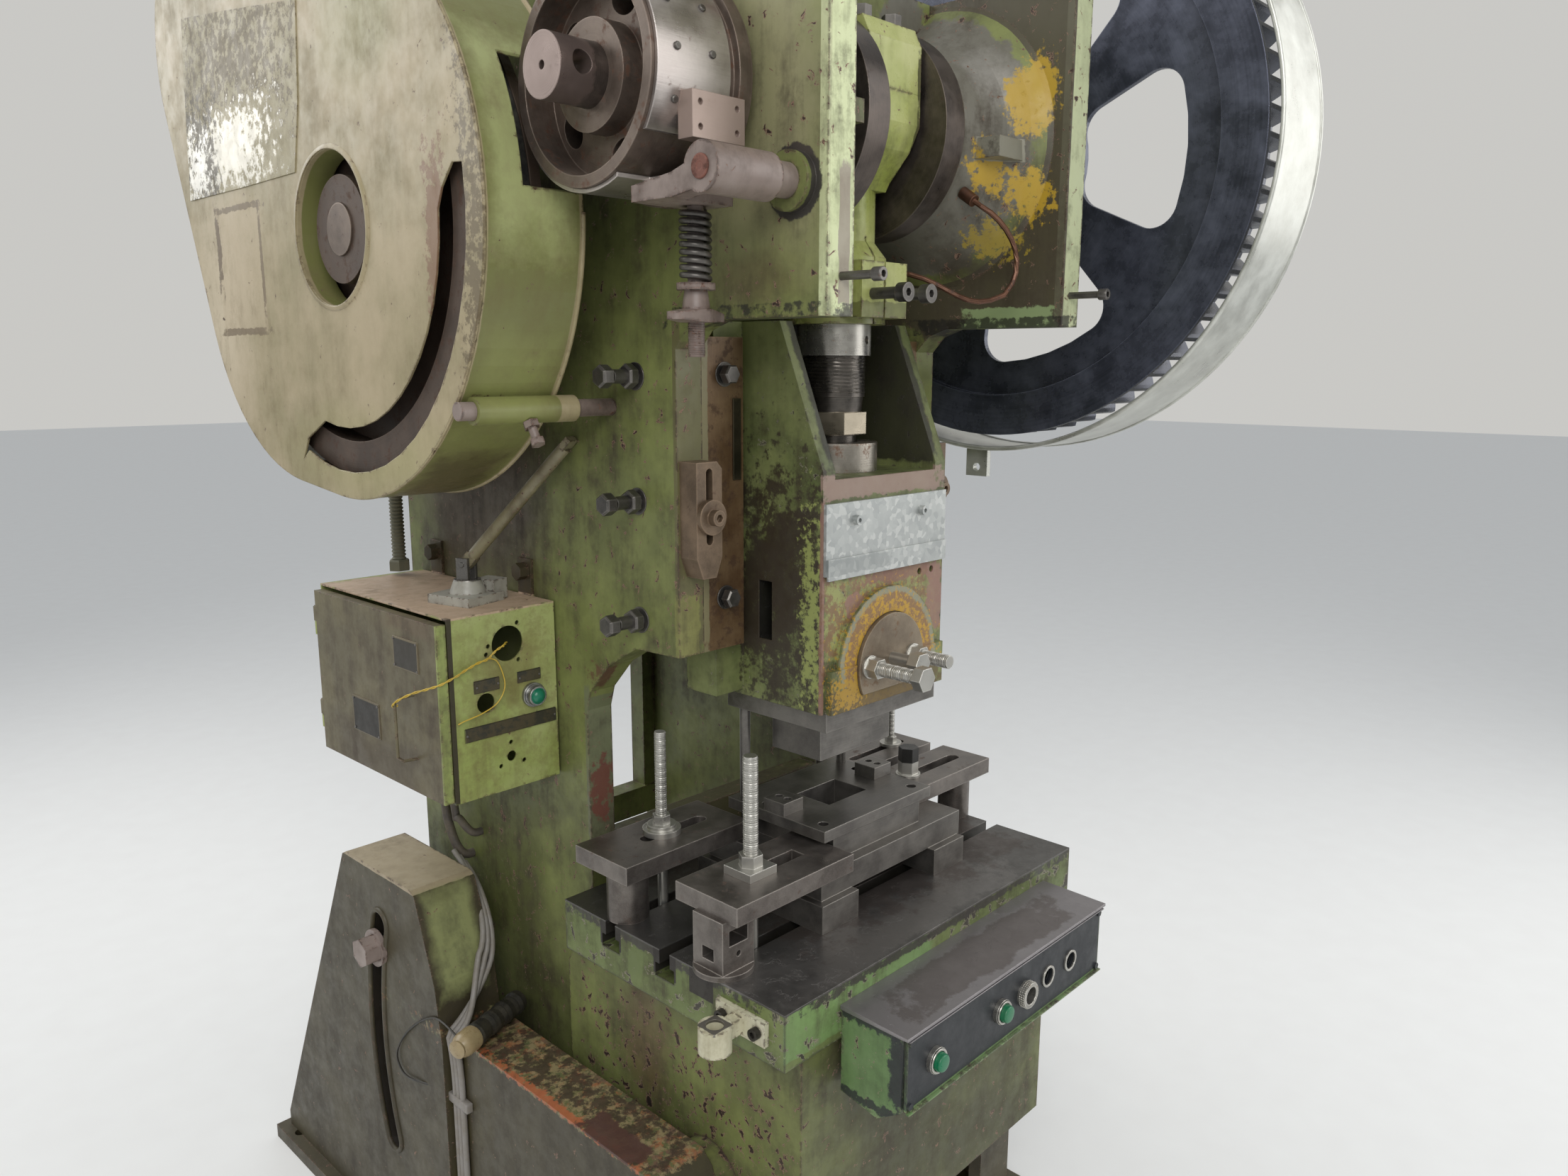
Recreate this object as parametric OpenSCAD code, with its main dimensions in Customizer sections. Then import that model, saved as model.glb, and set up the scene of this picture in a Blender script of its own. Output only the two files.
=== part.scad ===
// Open-back inclinable crank press, millimetres, +Z up, front towards -Y, floor at Z = 0.
// Inside on_press() the origin lies on the press's middle plane, under the front edge of the table.

/* [Table] */
// height of the table top above the floor
table_z = 800; // [700:10:950]
// width of the table, left to right
table_w = 700; // [600:10:800]
// depth of the table, front to back
table_d = 460; // [400:10:560]
// thickness of the table plate
table_t = 80; // [60:5:110]
// width of a T-slot's mouth
slot_mouth = 22; // [14:1:28]
// distance of the front T-slot before the middle one
slot_front = 75; // [60:5:100]
// distance of the rear T-slot behind the middle one
slot_rear = 120; // [100:5:140]

/* [Frame] */
// half the width over the frame's side plates
frame_x = 284; // [260:2:320]
// thickness of a side plate
side_t = 46; // [36:2:60]
// half the width of the body under the table
body_x = 305; // [290:5:320]
// height of the cheeks' lower edge
cheek_z = 1655; // [1500:5:1800]
// height of the head's top
head_z = 2140; // [2080:10:2250]
// height of the throat's roof
throat_z = 1201; // [1150:1:1260]
// front plane of the column
column_y = 263; // [240:1:300]
// rear edge of the frame
rear_y = 985; // [900:5:1050]
// height of the tilting pivot
pivot_z = 445; // [380:5:520]
// distance of the tilting pivot behind the table's front edge
pivot_y = 189; // [150:1:240]

/* [Legs] */
// outer plane of a leg, from the middle
leg_out = 450; // [430:5:500]
// inner plane of a leg, from the middle
leg_in = 337; // [320:1:350]
// outer plane of the front rail, from the middle
rail_out = 432; // [400:1:440]
// height of the front rail's top
rail_z = 520; // [450:5:600]
// radius of the curved slot about the pivot
slot_r = 706; // [600:2:800]
// width of the curved slot
slot_w = 43; // [36:1:50]
// angle of the lock bolt above the pivot, upright press
bolt_deg = 13; // [8:1:16]

/* [Crank] */
// height of the crankshaft's axis
crank_z = 1924; // [1850:2:2000]
// distance of the crankshaft's axis behind the table's front edge
crank_y = 235; // [210:1:260]
// crank radius, half the stroke
crank_r = 40; // [20:1:45]
// radius of the crankpin
pin_r = 45; // [35:1:60]
// radius of a journal
journal_r = 50; // [40:1:60]
// radius of the round webs
web_r = 146; // [120:1:160]
// radial running clearance in the bearings
run = 0.05; // [0.02:0.01:0.1]
// gap between sliding or passing faces
gap = 0.3; // [0.2:0.1:1]
// radius of the pinion shaft
shaft_r = 36; // [30:1:40]

/* [Gears and flywheel] */
// module of the gear teeth
gear_m = 12; // [8:1:14]
// teeth on the bull gear
gear_n = 72; // [60:1:90]
// teeth on the pinion
pinion_n = 12; // [12:1:20]
// face width of the bull gear
gear_w = 86; // [60:2:110]
// inner plane of the bull gear
gear_x = 420; // [400:2:440]
// radius of the flywheel
fly_r = 345; // [300:5:360]
// radius of the motor pulley over the grooves
pulley_r = 95; // [70:5:120]
// distance of the motor's axis behind the table's front edge
motor_y = 1060; // [1040:5:1090]
// height of the motor's axis
motor_z = 2099; // [2060:1:2130]

/* [Guards] */
// outer plane of the belt guard's round face
guard_x = 520; // [510:2:560]
// radius of the belt guard about the flywheel
guard_r = 382; // [370:2:400]
// depth of the belt guard's wall
guard_d = 145; // [120:5:160]
// sheet thickness of both guards
sheet = 3; // [2:0.5:5]
// inner radius of the gear guard ring
ring_r = 467; // [450:1:480]

/* [Slide] */
// half the width of the slide's body
slide_x = 140; // [120:2:160]
// front plane of the slide
slide_y = 130; // [110:1:150]
// height of the slide's bottom, crank up
slide_z = 1115; // [1080:5:1140]
// height of the slide's front sill above its bottom
sill_h = 330; // [280:5:360]
// height of the slide's rear guides above its bottom
guide_h = 543; // [480:5:600]
// reach of a guide wing beyond the body
wing = 55; // [40:1:70]
// pitch of the adjusting screw
screw_pitch = 6; // [4:1:8]

/* [Die] */
// half the width of the die plates
die_x = 128; // [110:2:150]
// height of the parallels under the die
parallel_h = 43; // [30:1:80]
// thickness of the die holder
holder_t = 40; // [25:1:60]
// height of the lower die above the holder
die_t = 54; // [30:1:70]
// height of the upper die block
block_h = 66; // [40:1:80]

/* [Cabinet and control box] */
// height of the cabinet
cab_h = 280; // [240:5:320]
// depth of the cabinet, front to back
cab_d = 395; // [300:5:420]
// width of the control box
box_w = 505; // [460:5:560]

/* [Piece shown] */
// piece to draw, or all of them

/* [Hidden] */
x_mid = -15;
y_mid = -557.5;
wall_x = frame_x - side_t;
ratio = gear_n / pinion_n;
centre_d = gear_m * (gear_n + pinion_n) / 2;
shaft_deg = -16.1;
shaft_y = crank_y + centre_d * cos(shaft_deg);
shaft_z = crank_z + centre_d * sin(shaft_deg);
pin_z = crank_z + crank_r;
seat_z = table_z - table_t;
t_ys = [table_d / 2 - slot_front, table_d / 2, table_d / 2 + slot_rear];
cab_x0 = -472;
cab_y0 = 550;
cab_z0 = table_z + 161;
box_x0 = -240;
die_y = table_d / 2 + 1;
holder_z = table_z + parallel_h;
lower_z = holder_z + holder_t;
die_top = lower_z + die_t;
block_z = die_top + 2 * crank_r + 3;
plate_z = block_z + block_h;
ball_z = slide_z + sill_h;
wing_x = slide_x + wing;
gib_y = column_y + 22;
$fn = 40;

module on_press() translate([x_mid, y_mid, 0]) children();

module both_sides() {
    children();
    mirror([1, 0, 0]) children();
}

// a rod along X between two planes
module rod_x(x1, x2, r, y, z) translate([x1, y, z]) rotate([0, 90, 0]) cylinder(r = r, h = x2 - x1);

// a rod along Y between two planes
module rod_y(y1, y2, r, x, z) translate([x, y1, z]) rotate([-90, 0, 0]) cylinder(r = r, h = y2 - y1);

// a rod along Z between two heights
module rod_z(z1, z2, r, x, y) translate([x, y, z1]) cylinder(r = r, h = z2 - z1);

// a side view drawn in Y and Z, given thickness along X from x1 to x2
module side_view(x1, x2) translate([x1, 0, 0]) rotate([90, 0, 90]) linear_extrude(x2 - x1) children();

module box(a, b) translate(a) cube(b - a);

// a hexagon head or nut whose axis is +Z
module hexagon(af, h) cylinder(r = af / sqrt(3), h = h, $fn = 6);

// a closed tube of even radius that follows a list of points
function unit(v) = v / norm(v);
function heading(p, i) = unit(p[min(i + 1, len(p) - 1)] - p[max(i - 1, 0)]);
function ring_at(p, i, r, n, up) =
    let (d = heading(p, i), a = unit(cross(d, up)), b = cross(a, d))
    [for (k = [0 : n - 1]) p[i] + r * (cos(360 * k / n) * a + sin(360 * k / n) * b)];
module tube_along(p, r, n = 10, up = [0.13, 0.31, 0.94]) {
    rings = [for (i = [0 : len(p) - 1]) each ring_at(p, i, r, n, up)];
    walls = [for (i = [0 : len(p) - 2]) for (k = [0 : n - 1]) let (a = i * n, b = a + n, j = (k + 1) % n)
        each [[a + k, b + j, b + k], [a + k, a + j, b + j]]];
    last = (len(p) - 1) * n;
    polyhedron(rings, concat(walls, [[for (k = [n - 1 : -1 : 0]) k]],
        [[for (k = [0 : n - 1]) last + k]]), convexity = 8);
}

// points of a smooth line through four guide points
function bend(a, b, c, d, n) = [for (i = [0 : n]) let (t = i / n, s = 1 - t)
    s * s * s * a + 3 * s * s * t * b + 3 * s * t * t * c + t * t * t * d];

// an arc of points about the tilting pivot
function arc(r, a1, a2, n) = [for (i = [0 : n]) let (a = a1 + (a2 - a1) * i / n)
    [pivot_y + r * cos(a), pivot_z + r * sin(a)]];
function cap(a, t0, n) = [for (i = [0 : n]) let (t = t0 + 180 * i / n)
    [pivot_y + slot_r * cos(a), pivot_z + slot_r * sin(a)] + slot_w / 2 * [cos(t), sin(t)]];
slot_hi = 17;
slot_lo = -17;
module slot_outline() polygon(concat(arc(slot_r + slot_w / 2, slot_lo, slot_hi, 14), cap(slot_hi, slot_hi, 8),
    arc(slot_r - slot_w / 2, slot_hi, slot_lo, 14), cap(slot_lo, slot_lo + 180, 8)));

// left leg pedestal

foot_y1 = 140;
foot_y2 = 1330;
module tall_outline() polygon([[672, 0], [676, rail_z - 20], [690, 600], [739, 742], [752, 750],
    [975, 750], [990, 742], [foot_y2, 60], [foot_y2, 0]]);
module rail_outline() polygon([[foot_y1, 0], [foot_y1, 470], [150, 500], [172, rail_z],
    [700, rail_z], [700, 0]]);
module leg() difference() {
    union() {
        side_view(-leg_out, -leg_in) difference() {
            tall_outline();
            difference() {
                offset(delta = -28) tall_outline();
                offset(delta = 34) slot_outline();
            }
        }
        side_view(-leg_out, -leg_out + 22) tall_outline();
        side_view(-rail_out, -leg_in) difference() {
            rail_outline();
            difference() {
                offset(delta = -26) rail_outline();
                translate([pivot_y, pivot_z]) circle(r = 74);
            }
        }
        side_view(-rail_out, -rail_out + 20) rail_outline();
        box([-leg_out - 22, foot_y1 - 20, 0], [-leg_in + 10, foot_y2 + 20, 28]);
    }
    side_view(-leg_out - 1, -leg_in + 1) slot_outline();
    rod_x(-rail_out - 1, -leg_in + 1, 30, pivot_y, pivot_z);
    for (y = [foot_y1 + 60, foot_y2 - 40]) rod_z(-1, 29, 11, -leg_out + 2, y);
}
module left_leg() color("#59612f") on_press() leg();
module right_leg() color("#59612f") on_press() mirror([1, 0, 0]) leg();

tie_ys = [330, 1180];
module tie_bars() color("#474c2c") on_press() {
    rod_x(-rail_out + 20, rail_out - 20, 24, tie_ys[0], 90);
    rod_x(-leg_out + 22, leg_out - 22, 24, tie_ys[1], 90);
}

module pivot_pins() color("#4a4742") on_press() both_sides() {
    rod_x(-rail_out - 1, -body_x + 28, 30, pivot_y, pivot_z);
    rod_x(-rail_out - 12, -rail_out, 40, pivot_y, pivot_z);
}

bolt_y = pivot_y + slot_r * cos(bolt_deg);
bolt_z = pivot_z + slot_r * sin(bolt_deg);
module lock_bolts() color("#5d5348") on_press() both_sides() {
    rod_x(-leg_out - gap - 8, -leg_in + gap, 15, bolt_y, bolt_z);
    rod_x(-leg_out - gap - 8, -leg_out - gap, 33, bolt_y, bolt_z);
    translate([-leg_out - gap - 8, bolt_y, bolt_z]) rotate([0, -90, 0]) hexagon(46, 26);
}

// frame casting

module frame_outline() polygon([[0, cheek_z], [205, cheek_z], [240, cheek_z - 12], [column_y, cheek_z - 36],
    [column_y, throat_z], [358, throat_z - 3], [423, 1160], [468, 1112], [478, 1080], [478, seat_z],
    [12, seat_z], [12, 330], [70, 262], [430, 262], [700, 400], [930, 520], [rear_y, 640],
    [rear_y, 1880], [rear_y - 60, 1960], [620, head_z], [0, head_z]]);
// crank bearing boss: a trumpet that widens from the web to the cheek
module cheek_boss() translate([-wall_x - 1, crank_y, crank_z]) rotate([0, 90, 0]) rotate_extrude($fn = 96)
    polygon([[0, 0], [210, 0], [184, 22], [160, 48], [142, 78], [130, 104], [126, wall_x - 111],
        [0, wall_x - 111]]);
module half_frame() {
    side_view(-frame_x, -wall_x) frame_outline();
    side_view(-body_x, -frame_x) polygon([[12, seat_z], [12, 330], [70, 262], [430, 262], [520, 310],
        [520, seat_z - 60], [478, seat_z]]);
    cheek_boss();
    box([-wall_x - 1, 60, crank_z - 34], [-150, crank_y, crank_z - 6]);
    rod_x(-wall_x - 1, -wall_x + 44, 90, shaft_y, shaft_z);
    rod_x(-frame_x - 10, -frame_x + 1, 78, shaft_y, shaft_z);
    rod_x(-leg_in + gap, -frame_x + 20, 42, bolt_y, bolt_z);
    rod_x(-leg_in + gap, -frame_x + 20, 58, pivot_y, pivot_z);
    rod_x(-frame_x - 14, -frame_x + 1, 34, brake_y, brake_z);
    side_view(-wall_x - 1, -wall_x + 60) polygon([[349, throat_z + 30], [420, throat_z + 10],
        [420, cheek_z + 60], [349, cheek_z + 60]]);
    side_view(-wall_x - 1, -wall_x + 30) polygon([[rear_y - 40, 700], [rear_y, 690], [rear_y, 1500],
        [rear_y - 40, 1500]]);
}
module frame_casting() color("#6b7534") on_press() difference() {
    union() {
        both_sides() half_frame();
        box([-body_x, 12, 330], [body_x, 56, seat_z]);
        box([-frame_x + 1, 12, seat_z - 44], [frame_x - 1, 478, seat_z]);
        box([-wall_x - 1, 70, 262], [wall_x + 1, 430, 300]);
        box([-wall_x - 1, 360, cheek_z - 40], [wall_x + 1, 430, cheek_z + 90]);
        box([-wall_x - 1, 478, seat_z - 60], [wall_x + 1, 520, seat_z + 140]);
        box([-wall_x - 1, rear_y - 45, 1500], [wall_x + 1, rear_y, 1760]);
        box([-wall_x - 1, rear_y - 45, 640], [wall_x + 1, rear_y, 700]);
        box([-wall_x - 1, 250, head_z - 45], [wall_x + 1, 620, head_z]);
    }
    rod_x(-400, 400, journal_r + 12, crank_y, crank_z);
    rod_x(-400, 400, shaft_r + run, shaft_y, shaft_z);
    both_sides() rod_x(-leg_in - 2, -body_x + 30, 30 + run, pivot_y, pivot_z);
    both_sides() rod_x(-frame_x - 20, -frame_x + 24, 20, brake_y, brake_z);
    box([-90, die_y - 80, seat_z - 60], [90, die_y + 80, seat_z + 1]);
}

// table plate with T-slots

module t_slot(y, x1, x2) {
    box([x1, y - slot_mouth / 2, table_z - 24], [x2, y + slot_mouth / 2, table_z + 1]);
    box([x1, y - slot_mouth * 0.9, table_z - 42], [x2, y + slot_mouth * 0.9, table_z - 22]);
}
module bolster() color("#474440") on_press() difference() {
    box([-table_w / 2, 0, seat_z], [table_w / 2, table_d, table_z]);
    t_slot(t_ys[0], -table_w / 2 + 50, table_w / 2 + 1);
    t_slot(t_ys[1], -table_w / 2 - 1, table_w / 2 + 1);
    t_slot(t_ys[2], -table_w / 2 - 1, table_w / 2 + 1);
    translate([-75, die_y - 60, seat_z - 1]) cube([150, 120, table_t + 2]);
}

// slide guides

gib_top = cheek_z - 19;
module gib_plates() color("#5e3d22") on_press() both_sides()
    box([-wall_x, column_y, throat_z], [-160, gib_y, gib_top]);
module gib_liners() color("#6e5136") on_press() both_sides()
    box([-wall_x, gib_y, throat_z + 40], [-wing_x - gap, 349, gib_top - 6]);
press_zs = [table_z + 443, table_z + 612, table_z + 783];
module gib_bolts() color("#4b4846") on_press() both_sides() {
    for (z = [table_z + 475, table_z + 786]) {
        translate([-196, column_y, z]) rotate([90, 0, 0]) hexagon(24, 13);
    }
    for (z = press_zs) {
        translate([-frame_x, 346, z]) rotate([0, -90, 0]) hexagon(30, 14);
        rod_x(-frame_x - 46, -frame_x - 14, 10, 346, z);
        translate([-frame_x - 40, 346, z]) rotate([0, -90, 0]) hexagon(27, 18);
    }
    rod_y(-56, 0, 5, -259, table_z + 900);
    rod_y(-62, -48, 8, -259, table_z + 900);
}
module scale_plate() color("#2f2e2c") on_press()
    box([-181, column_y - 2, table_z + 640], [-166, column_y, table_z + 753]);

stop_z = table_z + 598;
strap_x = 257;
module strap_outline() difference() {
    polygon([[-23, -56], [-12, -84], [12, -84], [23, -56], [23, 64], [14, 74], [-23, 74]]);
    hull() for (z = [-32, 59]) translate([0, z]) circle(r = 6);
}
module stop_straps() color("#7c6a52") on_press() both_sides() translate([-strap_x, column_y, stop_z])
    rotate([90, 0, 0]) linear_extrude(34) strap_outline();
module stop_screws() color("#8a735c") on_press() both_sides() {
    rod_y(column_y - 36, column_y, 5.5, -strap_x, stop_z);
    rod_y(column_y - 42, column_y - 34, 24, -strap_x, stop_z);
    difference() {
        rod_y(column_y - 54, column_y - 42, 11, -strap_x, stop_z);
        translate([-strap_x, column_y - 55, stop_z]) rotate([-90, 0, 0]) hexagon(10, 8);
    }
}

// crank train

module crank_bushes() color("#8c6b3a") on_press() both_sides() difference() {
    rod_x(-frame_x, -112, journal_r + 12, crank_y, crank_z);
    rod_x(-frame_x - 1, -111, journal_r + run, crank_y, crank_z);
}
end_x = 498;
module crankshaft() color("#544840") on_press() difference() {
    union() {
        rod_x(-frame_x - 16, -105, journal_r, crank_y, crank_z);
        rod_x(-end_x, -frame_x - 16, 36, crank_y, crank_z);
        rod_x(105, frame_x + 20, journal_r, crank_y, crank_z);
        rod_x(frame_x + 20, gear_x + gear_w + 20, 46, crank_y, crank_z);
        both_sides() rod_x(-105, -62, web_r, crank_y, crank_z);
        rod_x(-62, 62, pin_r, crank_y, pin_z);
    }
    rod_y(crank_y - 40, crank_y + 40, 13, -end_x + 29, crank_z + 3);
    rod_x(-end_x - 1, -end_x + 8, 5, crank_y, crank_z);
    rod_x(62, 106, 6 + run, crank_y, crank_z + crank_r / 2);
}
module crank_plug() color("#8f8878") on_press() rod_x(66, 104, 6, crank_y, crank_z + crank_r / 2, $fn = 24);

// big end: a straight race as wide as the throw lets the pin pass while the rod keeps its line
end_h = 78;
end_x1 = 57;
race_r = pin_r + gap;
boss_z = 1656;
module race_cut() {
    rod_x(-70, 70, race_r, crank_y - crank_r, pin_z);
    rod_x(-70, 70, race_r, crank_y + crank_r, pin_z);
    box([-70, crank_y - crank_r, pin_z - race_r], [70, crank_y + crank_r, pin_z + race_r]);
}
module end_block() intersection() {
    side_view(-end_x1, end_x1) polygon([[crank_y - 104, pin_z], [crank_y - 104, pin_z - 40],
        [crank_y - 92, pin_z - 74], [crank_y - 62, pin_z - 112], [crank_y - 56, pin_z - 124],
        [crank_y + 56, pin_z - 124], [crank_y + 62, pin_z - 112], [crank_y + 92, pin_z - 74],
        [crank_y + 104, pin_z - 40], [crank_y + 104, pin_z]]);
    translate([0, 400, pin_z]) rotate([90, 0, 0]) linear_extrude(400)
        polygon([[-end_x1, 0], [-end_x1, -44], [-50, -80], [-44, -124], [44, -124], [50, -80],
            [end_x1, -44], [end_x1, 0]]);
}
module conrod() color("#7c8a2c") on_press() difference() {
    union() {
        end_block();
        rod_z(boss_z, pin_z - 100, 57, 0, crank_y);
        translate([0, crank_y, boss_z + 92]) cylinder(r1 = 74, r2 = 57, h = 22);
        rod_z(boss_z, boss_z + 92, 74, 0, crank_y);
        box([-50, crank_y - 93, boss_z + 8], [50, crank_y, boss_z + 84]);
        translate([0, crank_y - 52, pin_z - 112]) rotate([35, 0, 0]) cylinder(r = 11, h = 26);
    }
    race_cut();
    rod_z(boss_z - 1, 1842, 46, 0, crank_y);
    box([-1.5, crank_y - 94, boss_z - 1], [1.5, crank_y, boss_z + 120]);
}
module conrod_cap() color("#7c8a2c") on_press() difference() {
    side_view(-end_x1, end_x1) polygon([[crank_y - 104, pin_z], [crank_y + 104, pin_z],
        [crank_y + 104, pin_z + 62], [crank_y + 92, pin_z + end_h + 8], [crank_y - 92, pin_z + end_h + 8],
        [crank_y - 104, pin_z + 62]]);
    race_cut();
}
module clamp_screws() color("#3c3b3a") on_press() {
    for (x = [-26, 26]) {
        rod_y(94, crank_y - 93, 8, x, table_z + 896, $fn = 24);
        difference() {
            rod_y(80, 95, 13, x, table_z + 896, $fn = 24);
            translate([x, 79, table_z + 896]) rotate([-90, 0, 0]) hexagon(10, 8);
        }
    }
    for (x = [-32, 32]) for (y = [crank_y - 70, crank_y + 70])
        translate([x, y, pin_z + end_h + 8]) hexagon(24, 18);
}
collar_z = table_z + 812;
module lock_collar() color("#77746e") on_press() difference() {
    rod_z(collar_z, boss_z, 54, 0, crank_y);
    rod_z(collar_z - 1, boss_z + 1, 46, 0, crank_y);
    rod_y(crank_y - 60, crank_y - 40, 6, 12, collar_z + 22, $fn = 16);
}
ball_mid = ball_z - 40;
module ball_screw() color("#5f5b55") on_press() {
    rod_z(ball_z + 108, 1785, 46 - run, 0, crank_y);
    translate([0, crank_y, ball_z + 52]) cylinder(r1 = 38, r2 = 44, h = 57);
    translate([0, crank_y, ball_z + 54]) hexagon(86, 32);
    rod_z(ball_z - 20, ball_z + 53, 34, 0, crank_y);
    translate([0, crank_y, ball_mid]) sphere(r = 48);
}

// brake on the crank's left end

drum_r = 124;
brake_y = 52;
brake_z = table_z + 1006;
hub_x = 432;
module brake_drum() color("#5a4438") on_press() difference() {
    union() {
        rod_x(-445, -322, drum_r, crank_y, crank_z, $fn = 64);
        rod_x(-322, -302, drum_r + 10, crank_y, crank_z, $fn = 64);
        rod_x(-hub_x, -300, 62, crank_y, crank_z);
    }
    difference() {
        rod_x(-446, -404, drum_r - 14, crank_y, crank_z, $fn = 64);
        rod_x(-hub_x - 1, -400, 62, crank_y, crank_z);
    }
    rod_x(-463, -299, 36, crank_y, crank_z);
    for (a = [20 : 72 : 340]) translate([0, crank_y, crank_z]) rotate([a, 0, 0]) translate([-410, 0, 86])
        rotate([0, 90, 0]) scale([0.72, 1, 1]) cylinder(r = 22, h = 120, $fn = 24);
}
rod_at = [-360, 138];
lug_z = crank_z - drum_r;
module brake_band() color("#8d8880") on_press() difference() {
    union() {
        difference() {
            rod_x(-440, -332, drum_r + 5, crank_y, crank_z, $fn = 64);
            box([-450, 60, crank_z - 160], [-300, 180, crank_z - 72]);
        }
        box([-404, 92, crank_z - 80], [-324, 116, crank_z - 30]);
        box([-392, 118, lug_z], [-336, 190, lug_z + 12]);
    }
    rod_x(-450, -320, drum_r + gap, crank_y, crank_z, $fn = 64);
    rod_z(lug_z - 1, lug_z + 13, 10, rod_at[0], rod_at[1]);
    for (x = [-392, -336]) for (z = [-68, -42]) rod_y(91, 97, 3.5, x, crank_z + z, $fn = 16);
}
module brake_lever() color("#5e4a42") on_press() {
    rod_x(-frame_x - 50, -frame_x + 24, 20, brake_y, brake_z);
    difference() {
        union() {
            rod_x(-430, -frame_x - 46, 27, brake_y, brake_z);
            side_view(-430, -404) polygon([[36, brake_z + 18], [36, brake_z - 18], [100, spring_hi],
                [168, spring_hi], [168, spring_hi + 18], [100, spring_hi + 26]]);
            box([-405, 106, spring_hi], [-330, 168, spring_hi + 17]);
        }
        rod_x(-frame_x - 60, -frame_x - 40, 20, brake_y, brake_z);
        rod_z(spring_hi - 1, spring_hi + 20, 10, rod_at[0], rod_at[1]);
    }
}
spring_hi = table_z + 979;
spring_lo = table_z + 893;
spring_n = 9;
wire_r = 3.6;
coil_r = 16;
module brake_spring() color("#57504a") on_press() tube_along([for (i = [0 : spring_n * 10])
    [rod_at[0] + coil_r * cos(36 * i), rod_at[1] + coil_r * sin(36 * i),
    spring_lo + wire_r + gap + (spring_hi - spring_lo - 2 * wire_r - 2 * gap) * i / (spring_n * 10)]], wire_r, 6);
module spring_rod() color("#5b4a40") on_press() translate([rod_at[0], rod_at[1], 0]) {
    rod_z(table_z + 808, lug_z + 24, 9.7, 0, 0);
    translate([0, 0, lug_z + 12]) hexagon(24, 11);
    rod_z(spring_lo - 8, spring_lo, 23, 0, 0);
    translate([0, 0, table_z + 862]) cylinder(r1 = 17, r2 = 13.5, h = spring_lo - 7 - table_z - 862);
    hull() {
        translate([0, 0, table_z + 848]) cylinder(r = 20, h = 15);
        for (s = [-1, 1]) translate([s * 40, s * 10, table_z + 850]) cylinder(r = 11, h = 9);
    }
}

// gears: a tooth is drawn by its half angles at the root, the pitch circle and the tip

shroud = 8;
module gear_outline(n, m, phase) polygon([for (i = [0 : n - 1]) let (a = phase + 360 * i / n)
    for (q = [[-1.25, -1.52], [0, -0.96], [0.55, -0.68], [1, -0.36], [1, 0.36], [0.55, 0.68], [0, 0.96],
        [-1.25, 1.52]]) m * (n / 2 + q[0]) * [cos(a + 90 / n * q[1]), sin(a + 90 / n * q[1])]]);
module window(r1, r2, a1, a2, n) offset(r = 40) offset(delta = -40) polygon(concat(
    [for (i = [0 : n]) let (a = a1 + (a2 - a1) * i / n) r2 * [cos(a), sin(a)]],
    [for (i = [n : -1 : 0]) let (a = a1 + (a2 - a1) * i / n) r1 * [cos(a), sin(a)]]));
module bull_gear() color("#3a3c40") on_press() translate([gear_x, crank_y, crank_z]) rotate([90, 0, 90])
    difference() {
        union() {
            difference() {
                union() {
                    linear_extrude(gear_w) gear_outline(gear_n, gear_m, 0);
                    cylinder(r = gear_m * (gear_n / 2 + 1) + 1, h = shroud, $fn = 96);
                }
                translate([0, 0, 26]) cylinder(r = 376, h = gear_w, $fn = 72);
                translate([0, 0, -1]) cylinder(r = 376, h = 17, $fn = 72);
            }
            translate([0, 0, -30]) cylinder(r = 96, h = gear_w + 30);
        }
        for (k = [0 : 4]) translate([0, 0, 10]) linear_extrude(40) window(150, 320, 72 * k + 12, 72 * k + 60, 6);
        translate([0, 0, -31]) cylinder(r = 46, h = gear_w + 60);
    }
module guard_ring(r, pin) {
    translate([crank_y, crank_z]) circle(r = r, $fn = 96);
    translate([shaft_y, shaft_z]) circle(r = pin, $fn = 48);
}
module gear_guard() color("#a6a88a") on_press() {
    side_view(412, 556) difference() {
        guard_ring(ring_r + sheet, gear_m * (pinion_n / 2 + 1) + 24 + sheet);
        guard_ring(ring_r, gear_m * (pinion_n / 2 + 1) + 24);
    }
    for (a = [-160, -128, -70]) translate([0, crank_y, crank_z]) rotate([a, 0, 0]) {
        box([frame_x, -18, ring_r + sheet - 1.5], [470, 18, ring_r + sheet + 8]);
        box([frame_x, -18, ring_r - 60], [frame_x + 8, 18, ring_r + sheet + 8]);
    }
    translate([430, crank_y + 10, crank_z - ring_r - sheet - 50]) difference() {
        cube([10, 44, 52]);
        translate([-1, 22, 16]) rotate([0, 90, 0]) cylinder(r = 7, h = 12);
    }
}
module pinion_shaft() color("#4f4b48") on_press() {
    rod_x(-guard_x + 12, frame_x + 70, shaft_r, shaft_y, shaft_z);
    rod_x(frame_x + 69, gear_x + gear_w + 30, shaft_r - 6, shaft_y, shaft_z);
    translate([gear_x + shroud + 2, shaft_y, shaft_z]) rotate([90, 0, 90]) linear_extrude(gear_w - shroud + 2)
        gear_outline(pinion_n, gear_m, pinion_phase);
    rod_x(-frame_x - 60, -frame_x - 10 - gap, 54, shaft_y, shaft_z);
}
// the pinion's phase puts a gap where the bull gear has a tooth on the line of centres
gear_side = shaft_deg * ratio;
pinion_phase = 180 + shaft_deg + gear_side + 180 / pinion_n;

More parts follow.
